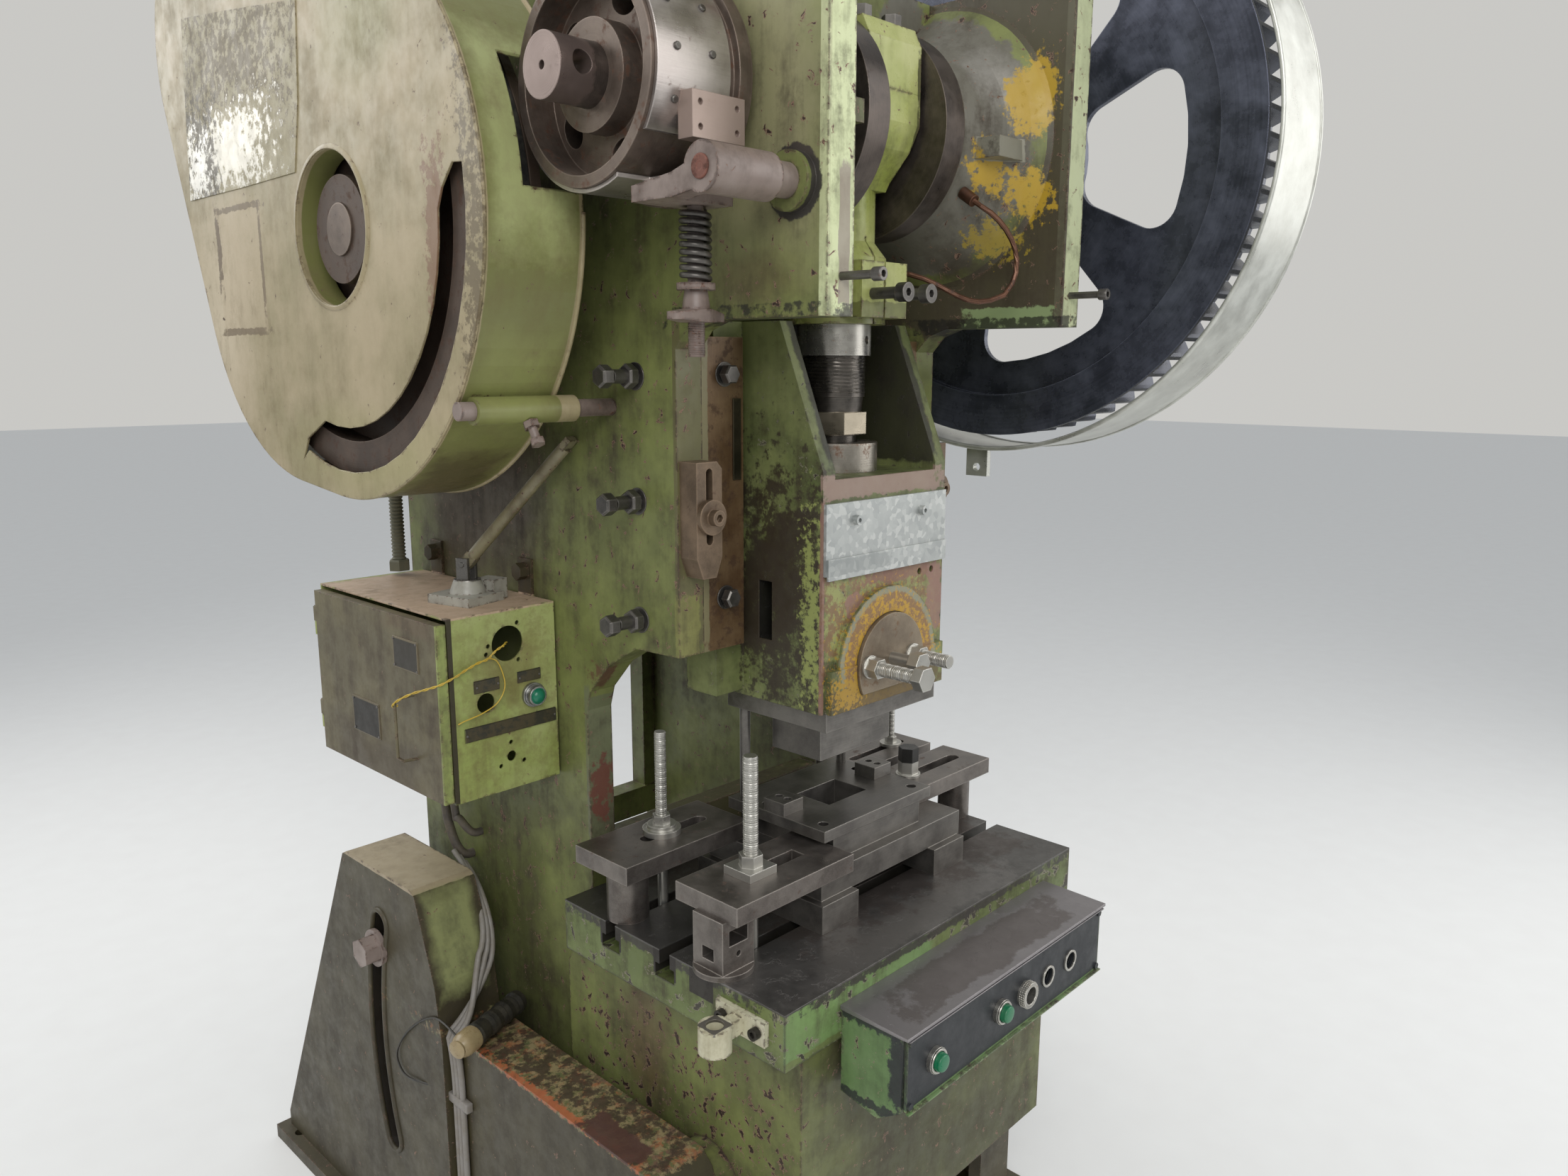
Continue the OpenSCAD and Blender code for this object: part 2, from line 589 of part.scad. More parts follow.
belt_xs = [-485, -457, -429];
module grooves(r, y, z) for (x = belt_xs) translate([x, y, z]) rotate([0, 90, 0]) rotate_extrude($fn = 72)
    translate([r - 14, 0]) polygon([[0, -5], [16, -9], [16, 9], [0, 5]]);
module flywheel() color("#5b4a42") on_press() difference() {
    rod_x(-505, -405, fly_r, shaft_y, shaft_z, $fn = 72);
    difference() {
        rod_x(-506, -466, fly_r - 48, shaft_y, shaft_z, $fn = 72);
        rod_x(-506, -460, 74, shaft_y, shaft_z);
    }
    difference() {
        rod_x(-436, -404, fly_r - 48, shaft_y, shaft_z, $fn = 72);
        rod_x(-440, -400, 74, shaft_y, shaft_z);
    }
    rod_x(-510, -400, shaft_r, shaft_y, shaft_z);
    grooves(fly_r, shaft_y, shaft_z);
}
module belt_loop(w, cut) hull() {
    rod_x(-w, w, fly_r - cut, shaft_y, shaft_z, $fn = 72);
    rod_x(-w, w, pulley_r - cut, motor_y, motor_z);
}
module belts() color("#262524") on_press() for (x = belt_xs) translate([x, 0, 0]) difference() {
    belt_loop(6, -1);
    belt_loop(7, 8);
}

foot_z = motor_z - 132;
module motor() color("#5f6a45") on_press() difference() {
    union() {
        rod_x(-230, 150, 118, motor_y, motor_z);
        rod_x(-250, -229, 96, motor_y, motor_z);
        rod_x(149, 200, 104, motor_y, motor_z);
        for (a = [0 : 20 : 340]) translate([0, motor_y, motor_z]) rotate([a, 0, 0])
            box([-190, -3, 112], [120, 3, 128]);
        box([-170, motor_y - 60, motor_z + 110], [-60, motor_y + 60, motor_z + 165]);
        box([-200, motor_y - 110, foot_z], [130, motor_y + 110, foot_z + 16]);
        box([-150, motor_y - 60, foot_z + 14], [90, motor_y + 60, foot_z + 36]);
        both_sides() side_view(-wall_x, -wall_x + 20) bracket_outline();
        box([-wall_x, motor_y - 110, foot_z - 16], [wall_x, motor_y + 110, foot_z]);
    }
    rod_x(-251, -215, 19 + run, motor_y, motor_z);
}
module bracket_outline() polygon([[rear_y - 240, foot_z - 1], [motor_y + 110, foot_z - 1],
    [motor_y + 110, foot_z - 38], [rear_y - 20, 1780], [rear_y - 60, 1780], [rear_y - 240, 1880]]);
module motor_pulley() color("#4f4b48") on_press() {
    difference() {
        rod_x(-505, -405, pulley_r, motor_y, motor_z);
        grooves(pulley_r, motor_y, motor_z);
    }
    rod_x(-406, -216, 19, motor_y, motor_z);
}

// belt guard

module guard_outline() hull() {
    translate([shaft_y - 7, shaft_z + 3]) circle(r = guard_r, $fn = 96);
    translate([shaft_y + 118, shaft_z - 18]) circle(r = guard_r - 34, $fn = 72);
    translate([motor_y, motor_z]) circle(r = pulley_r + 155, $fn = 72);
}
module torn_slot() translate([shaft_y - 7, shaft_z + 3]) polygon(concat(
    [for (a = [172 : 8 : 292]) 344 * [cos(a), sin(a)]],
    [[150, -334], [128, -300]], [for (a = [284 : -8 : 178]) 280 * [cos(a), sin(a)]],
    [[-292, 24], [-318, 50]]));
tube_at = [shaft_y - 7 - (guard_r + 16) * 0.784, shaft_z + 3 - (guard_r + 16) * 0.6206];
post_at = [shaft_y + 161, shaft_z - 344];
module belt_guard() color("#a5aa7c") on_press() {
    side_view(-guard_x, -guard_x + sheet) difference() {
        guard_outline();
        translate([shaft_y, shaft_z]) circle(r = 108 - sheet);
        torn_slot();
    }
    difference() {
        side_view(-guard_x + sheet - 0.5, -guard_x + guard_d) difference() {
            guard_outline();
            offset(delta = -sheet) guard_outline();
        }
        rod_x(-463, -360, 150, crank_y, crank_z);
    }
    side_view(-guard_x, -guard_x + 42) difference() {
        translate([shaft_y, shaft_z]) circle(r = 108);
        translate([shaft_y, shaft_z]) circle(r = 108 - sheet);
    }
    difference() {
        rod_x(-505, -350, 18, tube_at[0], tube_at[1]);
        rod_x(-506, -349, 12 + run, tube_at[0], tube_at[1]);
    }
}
module guard_rods() color("#4a4644") on_press() {
    rod_x(-guard_x - 6, -frame_x, 12, tube_at[0], tube_at[1]);
    rod_x(-guard_x + sheet, -frame_x, 10, post_at[0], post_at[1]);
    translate([-425, tube_at[0], tube_at[1]]) rotate([150, 0, 0]) {
        translate([0, 0, 18]) hexagon(19, 9);
        translate([0, 0, 27]) cylinder(r = 6, h = 16);
        translate([0, 0, 43]) hexagon(17, 9);
    }
}

// slide and what it carries

module slide_side() polygon([[slide_y, slide_z], [345, slide_z], [345, slide_z + guide_h],
    [212, slide_z + guide_h], [slide_y, slide_z + sill_h + 12]]);
cap_y = slide_y - 16;
cap_z = slide_z + 54;
module slide() color("#5c6337") on_press() difference() {
    union() {
        side_view(-slide_x, slide_x) slide_side();
        both_sides() box([-wing_x, gib_y + gap, slide_z + 8], [-slide_x + 5, 349 - gap, slide_z + guide_h]);
        box([-slide_x + 9, slide_y - 12, slide_z], [slide_x - 9, slide_y + 1, slide_z + 63]);
        intersection() {
            rod_y(slide_y - 10, slide_y + 1, 112, 0, slide_z + 56, $fn = 64);
            box([-120, slide_y - 20, slide_z], [120, slide_y + 10, slide_z + 200]);
        }
    }
    box([-slide_x + 25, slide_y - 1, slide_z + sill_h], [slide_x - 25, 320, slide_z + guide_h + 1]);
    rod_z(ball_z - 95, ball_z + 1, 60, 0, crank_y);
    both_sides() box([-slide_x - 1, 226, slide_z + 93], [-slide_x + 60, 252, slide_z + 179]);
    cap_form(76, cap_y - 20, die_y - 25, slide_z + 17);
    rod_z(slide_z - 1, slide_z + 60, 26, 0, die_y);
    for (x = [82, 112]) rod_y(slide_y - 1, slide_y + 20, 5, x, slide_z + 178, $fn = 20);
}
module ball_cap() color("#6a655c") on_press() difference() {
    union() {
        rod_z(ball_z - 95, ball_z + 1, 60, 0, crank_y);
        rod_z(ball_z, ball_z + 42, 66, 0, crank_y);
    }
    rod_z(ball_mid, ball_z + 43, 36, 0, crank_y);
    translate([0, crank_y, ball_mid]) sphere(r = 48 + gap);
}
module cover_plate() color("#9a9c98") on_press() {
    box([-138, slide_y - 5, slide_z + 198], [138, slide_y, slide_z + 298]);
    box([-136, slide_y - 8, slide_z + 192], [137, slide_y - 5, slide_z + 222]);
    for (x = [-76, 76]) difference() {
        rod_y(slide_y - 13, slide_y - 5, 7, x, slide_z + 272, $fn = 24);
        rod_y(slide_y - 14, slide_y - 9, 3.5, x, slide_z + 272, $fn = 6);
    }
}
module cap_form(r, y1, y2, z) intersection() {
    rod_y(y1, y2, r, 0, cap_z, $fn = 64);
    box([-100, y1 - 1, z], [100, y2 + 1, cap_z + 100]);
}
module shank_cap() color("#78664d") on_press() difference() {
    cap_form(75, cap_y, die_y - 26, slide_z + 18);
    rod_z(slide_z - 1, slide_z + 61, 26, 0, die_y);
}
module cap_studs() color("#8f8c86") on_press() {
    for (x = [-54, 47]) {
        rod_y(cap_y - 4, cap_y, 17, x, cap_z + 4);
        translate([x, cap_y - 4, cap_z + 4]) rotate([90, 0, 0]) hexagon(27, 18);
    }
    rod_y(26, cap_y - 21, 9.5, -54, cap_z + 4);
    translate([-54, 27, cap_z + 4]) rotate([90, 0, 0]) hexagon(32, 16);
    rod_y(45, cap_y - 21, 9.5, 47, cap_z + 4);
    rod_y(70, cap_y, 9.5, 0, cap_z + 7);
    translate([0, 76, cap_z + 7]) rotate([90, 0, 0]) hexagon(30, 18);
}
post_x = 114;
module upper_die() color("#55514c") on_press() {
    box([-die_x, slide_y, plate_z], [die_x, 331, slide_z]);
    box([-82, 181.5, block_z], [82, 280, plate_z + 1]);
    rod_z(slide_z - 1, slide_z + 58, 26 - run, 0, die_y);
    both_sides() rod_z(lower_z + 42, plate_z + 1, 8, -post_x, 308);
}

// lower die, its parallels and clamps

shoe_h = die_t - 17;
module lower_die() color("#5f5c57") on_press() {
    for (x = [-164, 104]) translate([x, 102, table_z]) cube([80, 262, parallel_h]);
    difference() {
        union() {
            box([-152, 115, holder_z - 0.5], [188, 350, lower_z]);
            box([-104, 135, lower_z - 1], [104, 327, lower_z + shoe_h]);
            box([-die_x, slide_y + 1, lower_z + shoe_h - 0.5], [die_x, 331, die_top]);
        }
        for (x = [-106, 106]) for (y = [153, 268]) rod_z(lower_z + shoe_h - 2, die_top + 1, 8, x, y, $fn = 24);
        for (x = [-post_x, post_x]) {
            rod_z(lower_z + 10, die_top + 1, 8 + run, x, 308);
            rod_z(holder_z - 1, lower_z + 1, 11, x, 308);
        }
        box([-45, 195, holder_z - 2], [45, 262, die_top + 1]);
    }
}
module locators() color("#625f5b") on_press() both_sides() difference() {
    box([-die_x, 212, die_top], [-86, 254, die_top + 20]);
    for (y = [224, 242]) rod_z(die_top + 10, die_top + 21, 6, -107, y, $fn = 20);
}
strap_t = 27;
module clamp_strap(x1, x2, y1, y2, s1, s2, half) difference() {
    box([x1, y1, lower_z], [x2, y2, lower_z + strap_t]);
    hull() for (x = [s1 + half, s2 - half]) rod_z(lower_z - 1, lower_z + strap_t + 1, half, x, (y1 + y2) / 2,
        $fn = 24);
}
module straps() color("#4e443c") on_press() {
    difference() {
        box([-343, 92, lower_z], [-109, 212, lower_z + strap_t]);
        box([-275, t_ys[0] - 13, lower_z - 1], [-160, t_ys[0] + 11, lower_z + strap_t + 1]);
    }
    clamp_strap(-366, -126, 289, 406, -290, -165, 11);
    clamp_strap(150, 370, 178, 278, 175, 340, 11);
    clamp_strap(150, 366, 304, 396, 190, 340, 8);
}
module stud(x, y, r, top) {
    rod_z(table_z - 36, top, r, x, y, $fn = 24);
    box([x - 15, y - 17, table_z - 36], [x + 15, y + 17, table_z - 22]);
}
module strap_studs() color("#8c8a84") on_press() {
    top = lower_z + strap_t;
    stud(-255, t_ys[0], 10, table_z + 280);
    box([-281, t_ys[0] - 25, top], [-229, t_ys[0] + 27, top + 12]);
    translate([-255, t_ys[0], top + 12]) hexagon(30, 17);
    stud(-249, t_ys[2], 8, table_z + 268);
    rod_z(top, top + 9, 29, -249, t_ys[2]);
    rod_z(top + 9, top + 15, 22, -249, t_ys[2]);
    translate([-249, t_ys[2], top + 15]) hexagon(24, 14);
    stud(200, t_ys[1], 9, top + 38);
    rod_z(top, top + 5, 21, 200, t_ys[1]);
    translate([200, t_ys[1], top + 2]) hexagon(30, 49);
    stud(305, t_ys[2], 6, table_z + 312);
    rod_z(top, top + 6, 20, 305, t_ys[2]);
    translate([305, t_ys[2], top + 6]) hexagon(19, 11);
}
module front_heel() difference() {
    union() {
        cylinder(r = 42, h = 8);
        translate([-29, -29, 7]) cube([58, 58, lower_z - table_z - 7]);
    }
    translate([-40, -11, 22]) cube([80, 22, 18]);
    translate([-17, -40, 46]) cube([34, 80, 22]);
    translate([0, 0, -1]) cylinder(r = 14, h = 10);
    for (z = [31, 75]) rod_y(-31, -12, 4, 0, z, $fn = 16);
}
module heels() color("#5b5a4c") on_press() {
    translate([-320, 142, table_z]) front_heel();
    rod_z(table_z, lower_z, 31, -316, t_ys[2]);
    for (p = [[338, t_ys[1]], [340, t_ys[2]]]) rod_z(table_z, lower_z, 28, p[0], p[1]);
}

module ring_bracket() color("#b9b592") on_press() {
    box([-table_w / 2 - 8, 28, table_z - 54], [-table_w / 2, 118, table_z - 20]);
    box([-table_w / 2 - 34, 68, table_z - 50], [-table_w / 2 - 8, 88, table_z - 28]);
    difference() {
        rod_z(table_z - 60, table_z - 24, 22, -table_w / 2 - 47, 78);
        rod_z(table_z - 61, table_z - 23, 12, -table_w / 2 - 47, 78);
    }
    for (y = [42, 104]) difference() {
        rod_x(-table_w / 2 - 17, -table_w / 2 - 8, 8, y, table_z - 37, $fn = 24);
        rod_x(-table_w / 2 - 18, -table_w / 2 - 12, 4.5, y, table_z - 37, $fn = 6);
    }
}

// electrical cabinet on the frame's left side

cab_x1 = -frame_x - 4;
cab_y1 = cab_y0 + cab_d;
cab_z1 = cab_z0 + cab_h;
module cab_hole(dx, z, r) rod_y(cab_y0 - 1, cab_y0 + 8, r, dx, table_z + z, $fn = 28);
module cabinet_body() color("#7f8f38") on_press() {
    difference() {
        box([cab_x0, cab_y0, cab_z0], [cab_x1, cab_y1, cab_z1]);
        box([cab_x0 - 1, cab_y0 + 3, cab_z0 + 3], [cab_x1 - 3, cab_y1 - 3, cab_z1 - 3]);
        cab_hole(-373, 389, 27);
        cab_hole(-414, 305, 15);
        for (p = [[-355, 418], [-355, 361], [-406, 390], [-410, 378], [-374, 235], [-393, 201], [-352, 201]])
            cab_hole(p[0], p[1], 3.5);
        cab_hole(-374, 213, 8);
    }
    for (y = [cab_y0 + 75, cab_y1 - 53]) {
        box([cab_x1 - 1, y - 18, cab_z1 - 40], [-frame_x, y + 18, cab_z1 + 58]);
        translate([cab_x1 - 1, y, cab_z1 + 38]) rotate([0, -90, 0]) hexagon(24, 15);
    }
    for (z = [cab_z0 + 20, cab_z1 - 60]) box([cab_x1, cab_y0 + 40, z], [-frame_x, cab_y1 - 40, z + 30]);
    box([-432, cab_y0 - 2, table_z + 323], [-391, cab_y0, table_z + 341]);
    box([-358, cab_y0 - 2, table_z + 325], [-318, cab_y0, table_z + 341]);
    box([-452, cab_y0 - 2, table_z + 252], [-292, cab_y0, table_z + 272]);
    for (z = hinge_zs) {
        rod_z(z - 24, z - gap, 6, hinge_at[0], hinge_at[1], $fn = 24);
        rod_z(z - 1, z + 24, 3, hinge_at[0], hinge_at[1], $fn = 24);
        box([cab_x0 - 8, cab_y1 - 2, z - 24], [cab_x0 + 10, cab_y1 + 1.5, z - gap]);
    }
}
door_x = cab_x0 - 16;
hinge_at = [cab_x0 - 8, cab_y1 - 1];
hinge_zs = [cab_z0 + 60, cab_z1 - 60];
module cabinet_door() color("#7b7c56") on_press() {
    difference() {
        box([door_x, cab_y0 + 3, cab_z0 + 3], [cab_x0 - 0.6, cab_y1 - 10, cab_z1 - 8]);
        box([door_x + 2, cab_y0 + 5, cab_z0 + 5], [cab_x0, cab_y1 - 12, cab_z1 - 10]);
    }
    for (z = hinge_zs) difference() {
        union() {
            rod_z(z, z + 24, 6, hinge_at[0], hinge_at[1], $fn = 24);
            box([door_x, cab_y1 - 12, z], [door_x + 4, cab_y1 - 2, z + 24]);
        }
        rod_z(z - 1, z + 26, 3 + run, hinge_at[0], hinge_at[1], $fn = 24);
    }
    box([door_x - 1.5, 606, table_z + 353], [door_x + 0.5, 678, table_z + 400]);
    box([door_x - 1.5, 736, table_z + 222], [door_x + 0.5, 822, table_z + 279]);
    tube_along([[door_x + 1, 626, table_z + 318], [door_x - 22, 628, table_z + 317],
        [door_x - 28, 632, table_z + 311], [door_x - 28, 632, table_z + 226],
        [door_x - 22, 628, table_z + 220], [door_x + 1, 626, table_z + 219]], 2.5, 8, [0.1, 1, 0.2]);
}
module pilot_lamp() color("#1f6f4e") on_press() {
    rod_y(cab_y0 - 6, cab_y0, 19, -333, table_z + 302, $fn = 32);
    rod_y(cab_y0 - 16, cab_y0 - 6, 15, -333, table_z + 302, $fn = 32);
    translate([-333, cab_y0 - 16, table_z + 302]) scale([1, 0.7, 1]) sphere(r = 11, $fn = 24);
}

lamp_p = [-378, 645, cab_z1];
lamp_turn = 25.4;
eye_z = 58;
module lamp_base() color("#b0b09a") on_press() translate(lamp_p) {
    rotate([0, 0, 14]) {
        box([-42, -42, 0], [34, 42, 14]);
        box([20, -34, 1], [50, 4, 32]);
    }
    translate([0, 0, 13]) cylinder(r1 = 28, r2 = 20, h = 22);
    rotate([0, 0, lamp_turn]) {
        for (s = [-1, 1]) translate([s * 10.5 - 3, -10, 34]) cube([6, 20, 34]);
        translate([-15, 0, eye_z]) rotate([0, 90, 0]) cylinder(r = 4, h = 30, $fn = 24);
    }
}
arm_len = 252;
arm_rise = 46;
module lamp_arm() color("#8d8462") on_press() translate(lamp_p + [0, 0, eye_z]) rotate([0, 0, lamp_turn])
    difference() {
        union() {
            translate([-7, 0, 0]) rotate([0, 90, 0]) cylinder(r = 9.5, h = 14);
            rotate([90 - arm_rise, 0, 0]) translate([-7, -9.5, 0]) cube([14, 19, 20]);
            rotate([90 - arm_rise, 0, 0]) translate([0, 0, 18]) cylinder(r = 9.5, h = arm_len - 18);
            rotate([90 - arm_rise, 0, 0]) translate([-13, -5, arm_len - 2]) cube([26, 10, 20]);
        }
        translate([-16, 0, 0]) rotate([0, 90, 0]) cylinder(r = 4 + run, h = 32, $fn = 24);
    }

module conduit() color("#6a6a52") on_press() {
    tube_along(concat([[-340, 925, cab_z1 + 10]], bend([-340, 925, cab_z1 + 40], [-340, 925, 1600],
        [-332, 935, 1800], [-300, 985, 2080], 10), bend([-285, 1000, 2130], [-265, 1020, 2200],
        [-250, 1040, 2236], [-205, 1045, 2236], 6), [[-171, 1045, 2236]]), 12, 10, [1, 0.2, 0.1]);
    rod_z(cab_z1, cab_z1 + 18, 17, -340, 925);
    tube_along(concat([[-390, cab_y1, cab_z0 + 60]], bend([-390, cab_y1 + 12, cab_z0 + 60],
        [-390, cab_y1 + 90, cab_z0 + 60], [-390, cab_y1 + 90, cab_z0 + 190], [-390, cab_y1 + 12, cab_z0 + 190],
        12), [[-390, cab_y1, cab_z0 + 190]]), 12, 10, [1, 0.2, 0.1]);
}
module cable(x, y, z, r) tube_along(concat([[x, y, cab_z0]], bend([x, y, cab_z0 - 8], [x, y, cab_z0 - 50],
    [-318, y - 10, cab_z0 - 10], [-314, y - 20, cab_z0 - 100], 8), bend([-314, y - 30, cab_z0 - 150],
    [-314, y - 40, z + 40], [-314, y - 60, z], [-frame_x - 8, y - 60, z], 6), [[-frame_x, y - 60, z]]), r, 8);
module cables() color("#4c4236") on_press() {
    cable(-324, 890, 740, 8);
    cable(-318, 858, 790, 7);
}
splice_z = rail_z + 21 + gap;
module splice() color("#8a857a") on_press() {
    for (k = [0 : 2]) tube_along(concat([[-346 - 11 * k, 701, 612 + 9 * k]],
        bend([-348 - 11 * k, 684, 610 + 9 * k], [-370 - 10 * k, 672, 585], [-404, 668 - 11 * k, 548],
        [-rail_out - 3, 668 - 11 * k, rail_z + 9], 6), bend([-rail_out - 9, 668 - 11 * k, rail_z - 3],
        [-rail_out - 6, 664 - 11 * k, 480], [-rail_out - 6, 664 - 11 * k, 470],
        [-rail_out - 6, 662 - 11 * k, 430], 4), [[-rail_out - 6, 662 - 11 * k, 60]]), 5, 8, [0.2, 1, 0.1]);
    tube_along([[-316, 648, splice_z], [-340, 636, splice_z], [-430, 608, splice_z], [-464, 596, splice_z]], 21, 12);
    for (z = [180, 400]) box([-rail_out - 12, 620, z], [-rail_out, 686, z + 16]);
    box([-rail_out - 22, 630, 30], [-rail_out, 680, 70]);
}

// two-hand control box under the table's front edge

box_top = table_z - 37;
box_mid = table_z - 92;
panel_y = -106;
module box_side() polygon([[0, box_top], [panel_y + 3, box_top], [panel_y + 6, table_z - 145], [-62, table_z - 170],
    [0, table_z - 158]]);
module box_core() offset(delta = -2) box_side();
module control_box() color("#6f8a3a") on_press() {
    difference() {
        side_view(box_x0, box_x0 + box_w) box_side();
        side_view(box_x0 + 2, box_x0 + box_w - 2) box_core();
        for (x = button_xs) rod_y(panel_y - 8, panel_y + 20, 13, x, box_mid);
        for (x = hole_xs) rod_y(panel_y - 8, panel_y + 20, 14, x, box_mid);
    }
    side_view(box_x0 - 3, box_x0 + box_w + 3) polygon([[0, box_top], [panel_y - 6, box_top],
        [panel_y - 6, box_top + 4], [0, box_top + 6]]);
    difference() {
        box([box_x0 + 4, panel_y - 1, table_z - 143], [box_x0 + box_w - 4, panel_y + 4, box_top - 1]);
        for (x = button_xs) rod_y(panel_y - 8, panel_y + 20, 13, x, box_mid);
        for (x = hole_xs) rod_y(panel_y - 8, panel_y + 20, 14, x, box_mid);
    }
    box([-110, 0, table_z - 150], [110, 12, table_z - 96]);
    for (x = [box_x0 + 10, box_x0 + box_w - 10]) for (z = [table_z - 136, box_top - 9])
        rod_y(panel_y - 4, panel_y - 1, 5, x, z, $fn = 20);
}
button_xs = [-178, -22];
hole_xs = [42, 106, 170];
module push_button(x) {
    rod_y(panel_y - 14, panel_y + 22, 12.9, x, box_mid);
    rod_y(panel_y - 16, panel_y - 14, 12, x, box_mid);
}
module button_left() color("#0f6b48") on_press() push_button(button_xs[0]);
module button_mid() color("#0f6b48") on_press() push_button(button_xs[1]);
module collar_ring(x, r, t) difference() {
    rod_y(panel_y - 1 - t, panel_y - 1, r, x, box_mid, $fn = 32);
    rod_y(panel_y - 2 - t, panel_y, 13, x, box_mid, $fn = 32);
}
module box_rings() color("#9b9a94") on_press() {
    for (x = button_xs) collar_ring(x, 18, 7);
    collar_ring(hole_xs[0], 19, 12);
    for (x = [hole_xs[1], hole_xs[2]]) collar_ring(x, 16.5, 3);
}

module oil_pipe() color("#8c5a3c") on_press() {
    translate([152, 122, 1846]) rotate([124, 0, 0]) cylinder(r = 9, h = 25, $fn = 24);
    tube_along(concat([[152, 104, 1834]], bend([154, 90, 1824], [186, 62, 1803], [216, 40, 1745], [180, 62, 1700], 9),
        bend([162, 74, 1692], [120, 96, 1680], [100, 110, 1716], [78, 158, 1728], 7), [[74.5, 176, 1731]]), 4, 8);
}

left_leg();
right_leg();
tie_bars();
pivot_pins();
lock_bolts();
frame_casting();
bolster();
gib_plates();
gib_liners();
gib_bolts();
scale_plate();
stop_straps();
stop_screws();
crank_bushes();
crankshaft();
crank_plug();
conrod();
conrod_cap();
clamp_screws();
lock_collar();
ball_screw();
brake_drum();
brake_band();
brake_lever();
brake_spring();
spring_rod();
bull_gear();
gear_guard();
pinion_shaft();
flywheel();
belts();
belt_guard();
guard_rods();
motor();
motor_pulley();
slide();
ball_cap();
cover_plate();
shank_cap();
cap_studs();
upper_die();
lower_die();
locators();
straps();
strap_studs();
heels();
ring_bracket();
cabinet_body();
cabinet_door();
pilot_lamp();
lamp_base();
lamp_arm();
conduit();
cables();
splice();
control_box();
button_left();
button_mid();
box_rings();
oil_pipe();
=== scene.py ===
"""Looks of an open-back inclinable crank press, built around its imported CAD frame.

Every length is given in millimetres in the press's own coordinates: X to the operator's right from the
centre plane, Y to the back from the table's front edge, Z up from the floor. Function at() turns such a
point into the metres of the frame.
"""

from __future__ import annotations

import logging
import math
from dataclasses import dataclass
from enum import Enum
from typing import Sequence

import bmesh
import bpy
from mathutils import Euler, Matrix, Vector


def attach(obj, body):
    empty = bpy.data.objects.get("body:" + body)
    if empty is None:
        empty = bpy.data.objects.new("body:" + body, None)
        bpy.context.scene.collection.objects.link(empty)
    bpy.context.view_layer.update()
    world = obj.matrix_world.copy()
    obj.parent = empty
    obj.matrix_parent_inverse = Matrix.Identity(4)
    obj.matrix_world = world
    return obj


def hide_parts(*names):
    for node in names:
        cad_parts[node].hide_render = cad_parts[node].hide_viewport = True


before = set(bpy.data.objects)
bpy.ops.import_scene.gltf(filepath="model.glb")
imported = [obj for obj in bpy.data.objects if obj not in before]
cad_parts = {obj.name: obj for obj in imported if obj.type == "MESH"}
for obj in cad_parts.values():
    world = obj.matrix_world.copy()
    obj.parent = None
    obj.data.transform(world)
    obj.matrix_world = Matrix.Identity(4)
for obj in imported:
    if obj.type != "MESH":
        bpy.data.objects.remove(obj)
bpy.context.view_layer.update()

LOG = logging.getLogger("press")
SHIFT = Vector((-15.0, -557.5, 0.0))
Point = Sequence[float]
Spot = tuple[float, float, float]
Profile = tuple[tuple[float, float], ...]
Tree = bpy.types.NodeTree
Socket = bpy.types.NodeSocket


def at(x: float, y: float, z: float) -> Vector:
    """Turns a point of the press into the frame's metres.

    Args:
        x: millimetres to the right of the centre plane.
        y: millimetres behind the table's front edge.
        z: millimetres above the floor.

    Returns:
        The same point in metres.
    """
    return (Vector((x, y, z)) + SHIFT) * 0.001


def linear(code: str) -> tuple[float, float, float, float]:
    """Turns an sRGB hex colour into a linear colour.

    Args:
        code: the colour as "#rrggbb".

    Returns:
        Red, green, blue and alpha, all linear.
    """
    parts = [int(code[i:i + 2], 16) / 255 for i in (1, 3, 5)]
    red, green, blue = [c / 12.92 if c <= 0.04045 else ((c + 0.055) / 1.055) ** 2.4 for c in parts]
    return red, green, blue, 1.0


def per_mm(size: float) -> float:
    """Returns a texture scale that gives one feature about every size millimetres."""
    return 1000.0 / size


def feed(tree: Tree, node: bpy.types.Node, links: dict) -> None:
    """Sets or links a node's inputs.

    Args:
        tree: the node tree that holds the node.
        node: the node.
        links: input name or number to a value, or to the output that feeds it.
    """
    for socket, value in links.items():
        if isinstance(value, Socket):
            tree.links.new(value, node.inputs[socket])
        else:
            node.inputs[socket].default_value = value


def add(tree: Tree, kind: str, links: dict | None = None, **settings: object) -> bpy.types.Node:
    """Adds a node with its settings and links.

    Args:
        tree: the node tree that gets the node.
        kind: the node's type name.
        links: input name or number to a value, or to the output that feeds it.
        settings: the node's own properties.

    Returns:
        The new node.
    """
    node = tree.nodes.new(kind)
    for name, value in settings.items():
        setattr(node, name, value)
    feed(tree, node, links or {})
    return node


MATH, MIX, NOISE = "ShaderNodeMath", "ShaderNodeMix", "ShaderNodeTexNoise"
RANGE, VECTOR, MAPPING = "ShaderNodeMapRange", "ShaderNodeVectorMath", "ShaderNodeMapping"


class Area(Enum):
    """Outline of a patch of another tint."""

    BALL = "LENGTH"
    BLOCK = "ABSOLUTE"


class Layer(Enum):
    """Where a patch lies among the coats of a finish."""

    PAINT = "under the grime and the chips"
    BARE = "over the chips, as bare metal"
    LOSS = "no tint: more of the coat has flaked off"


class Grain(Enum):
    """Direction in which a machined face was cut, as the stretch of its marks."""

    NONE = (1.0, 1.0, 1.0)
    ALONG_X = (0.05, 1.0, 1.0)
    ALONG_Z = (1.0, 1.0, 0.05)


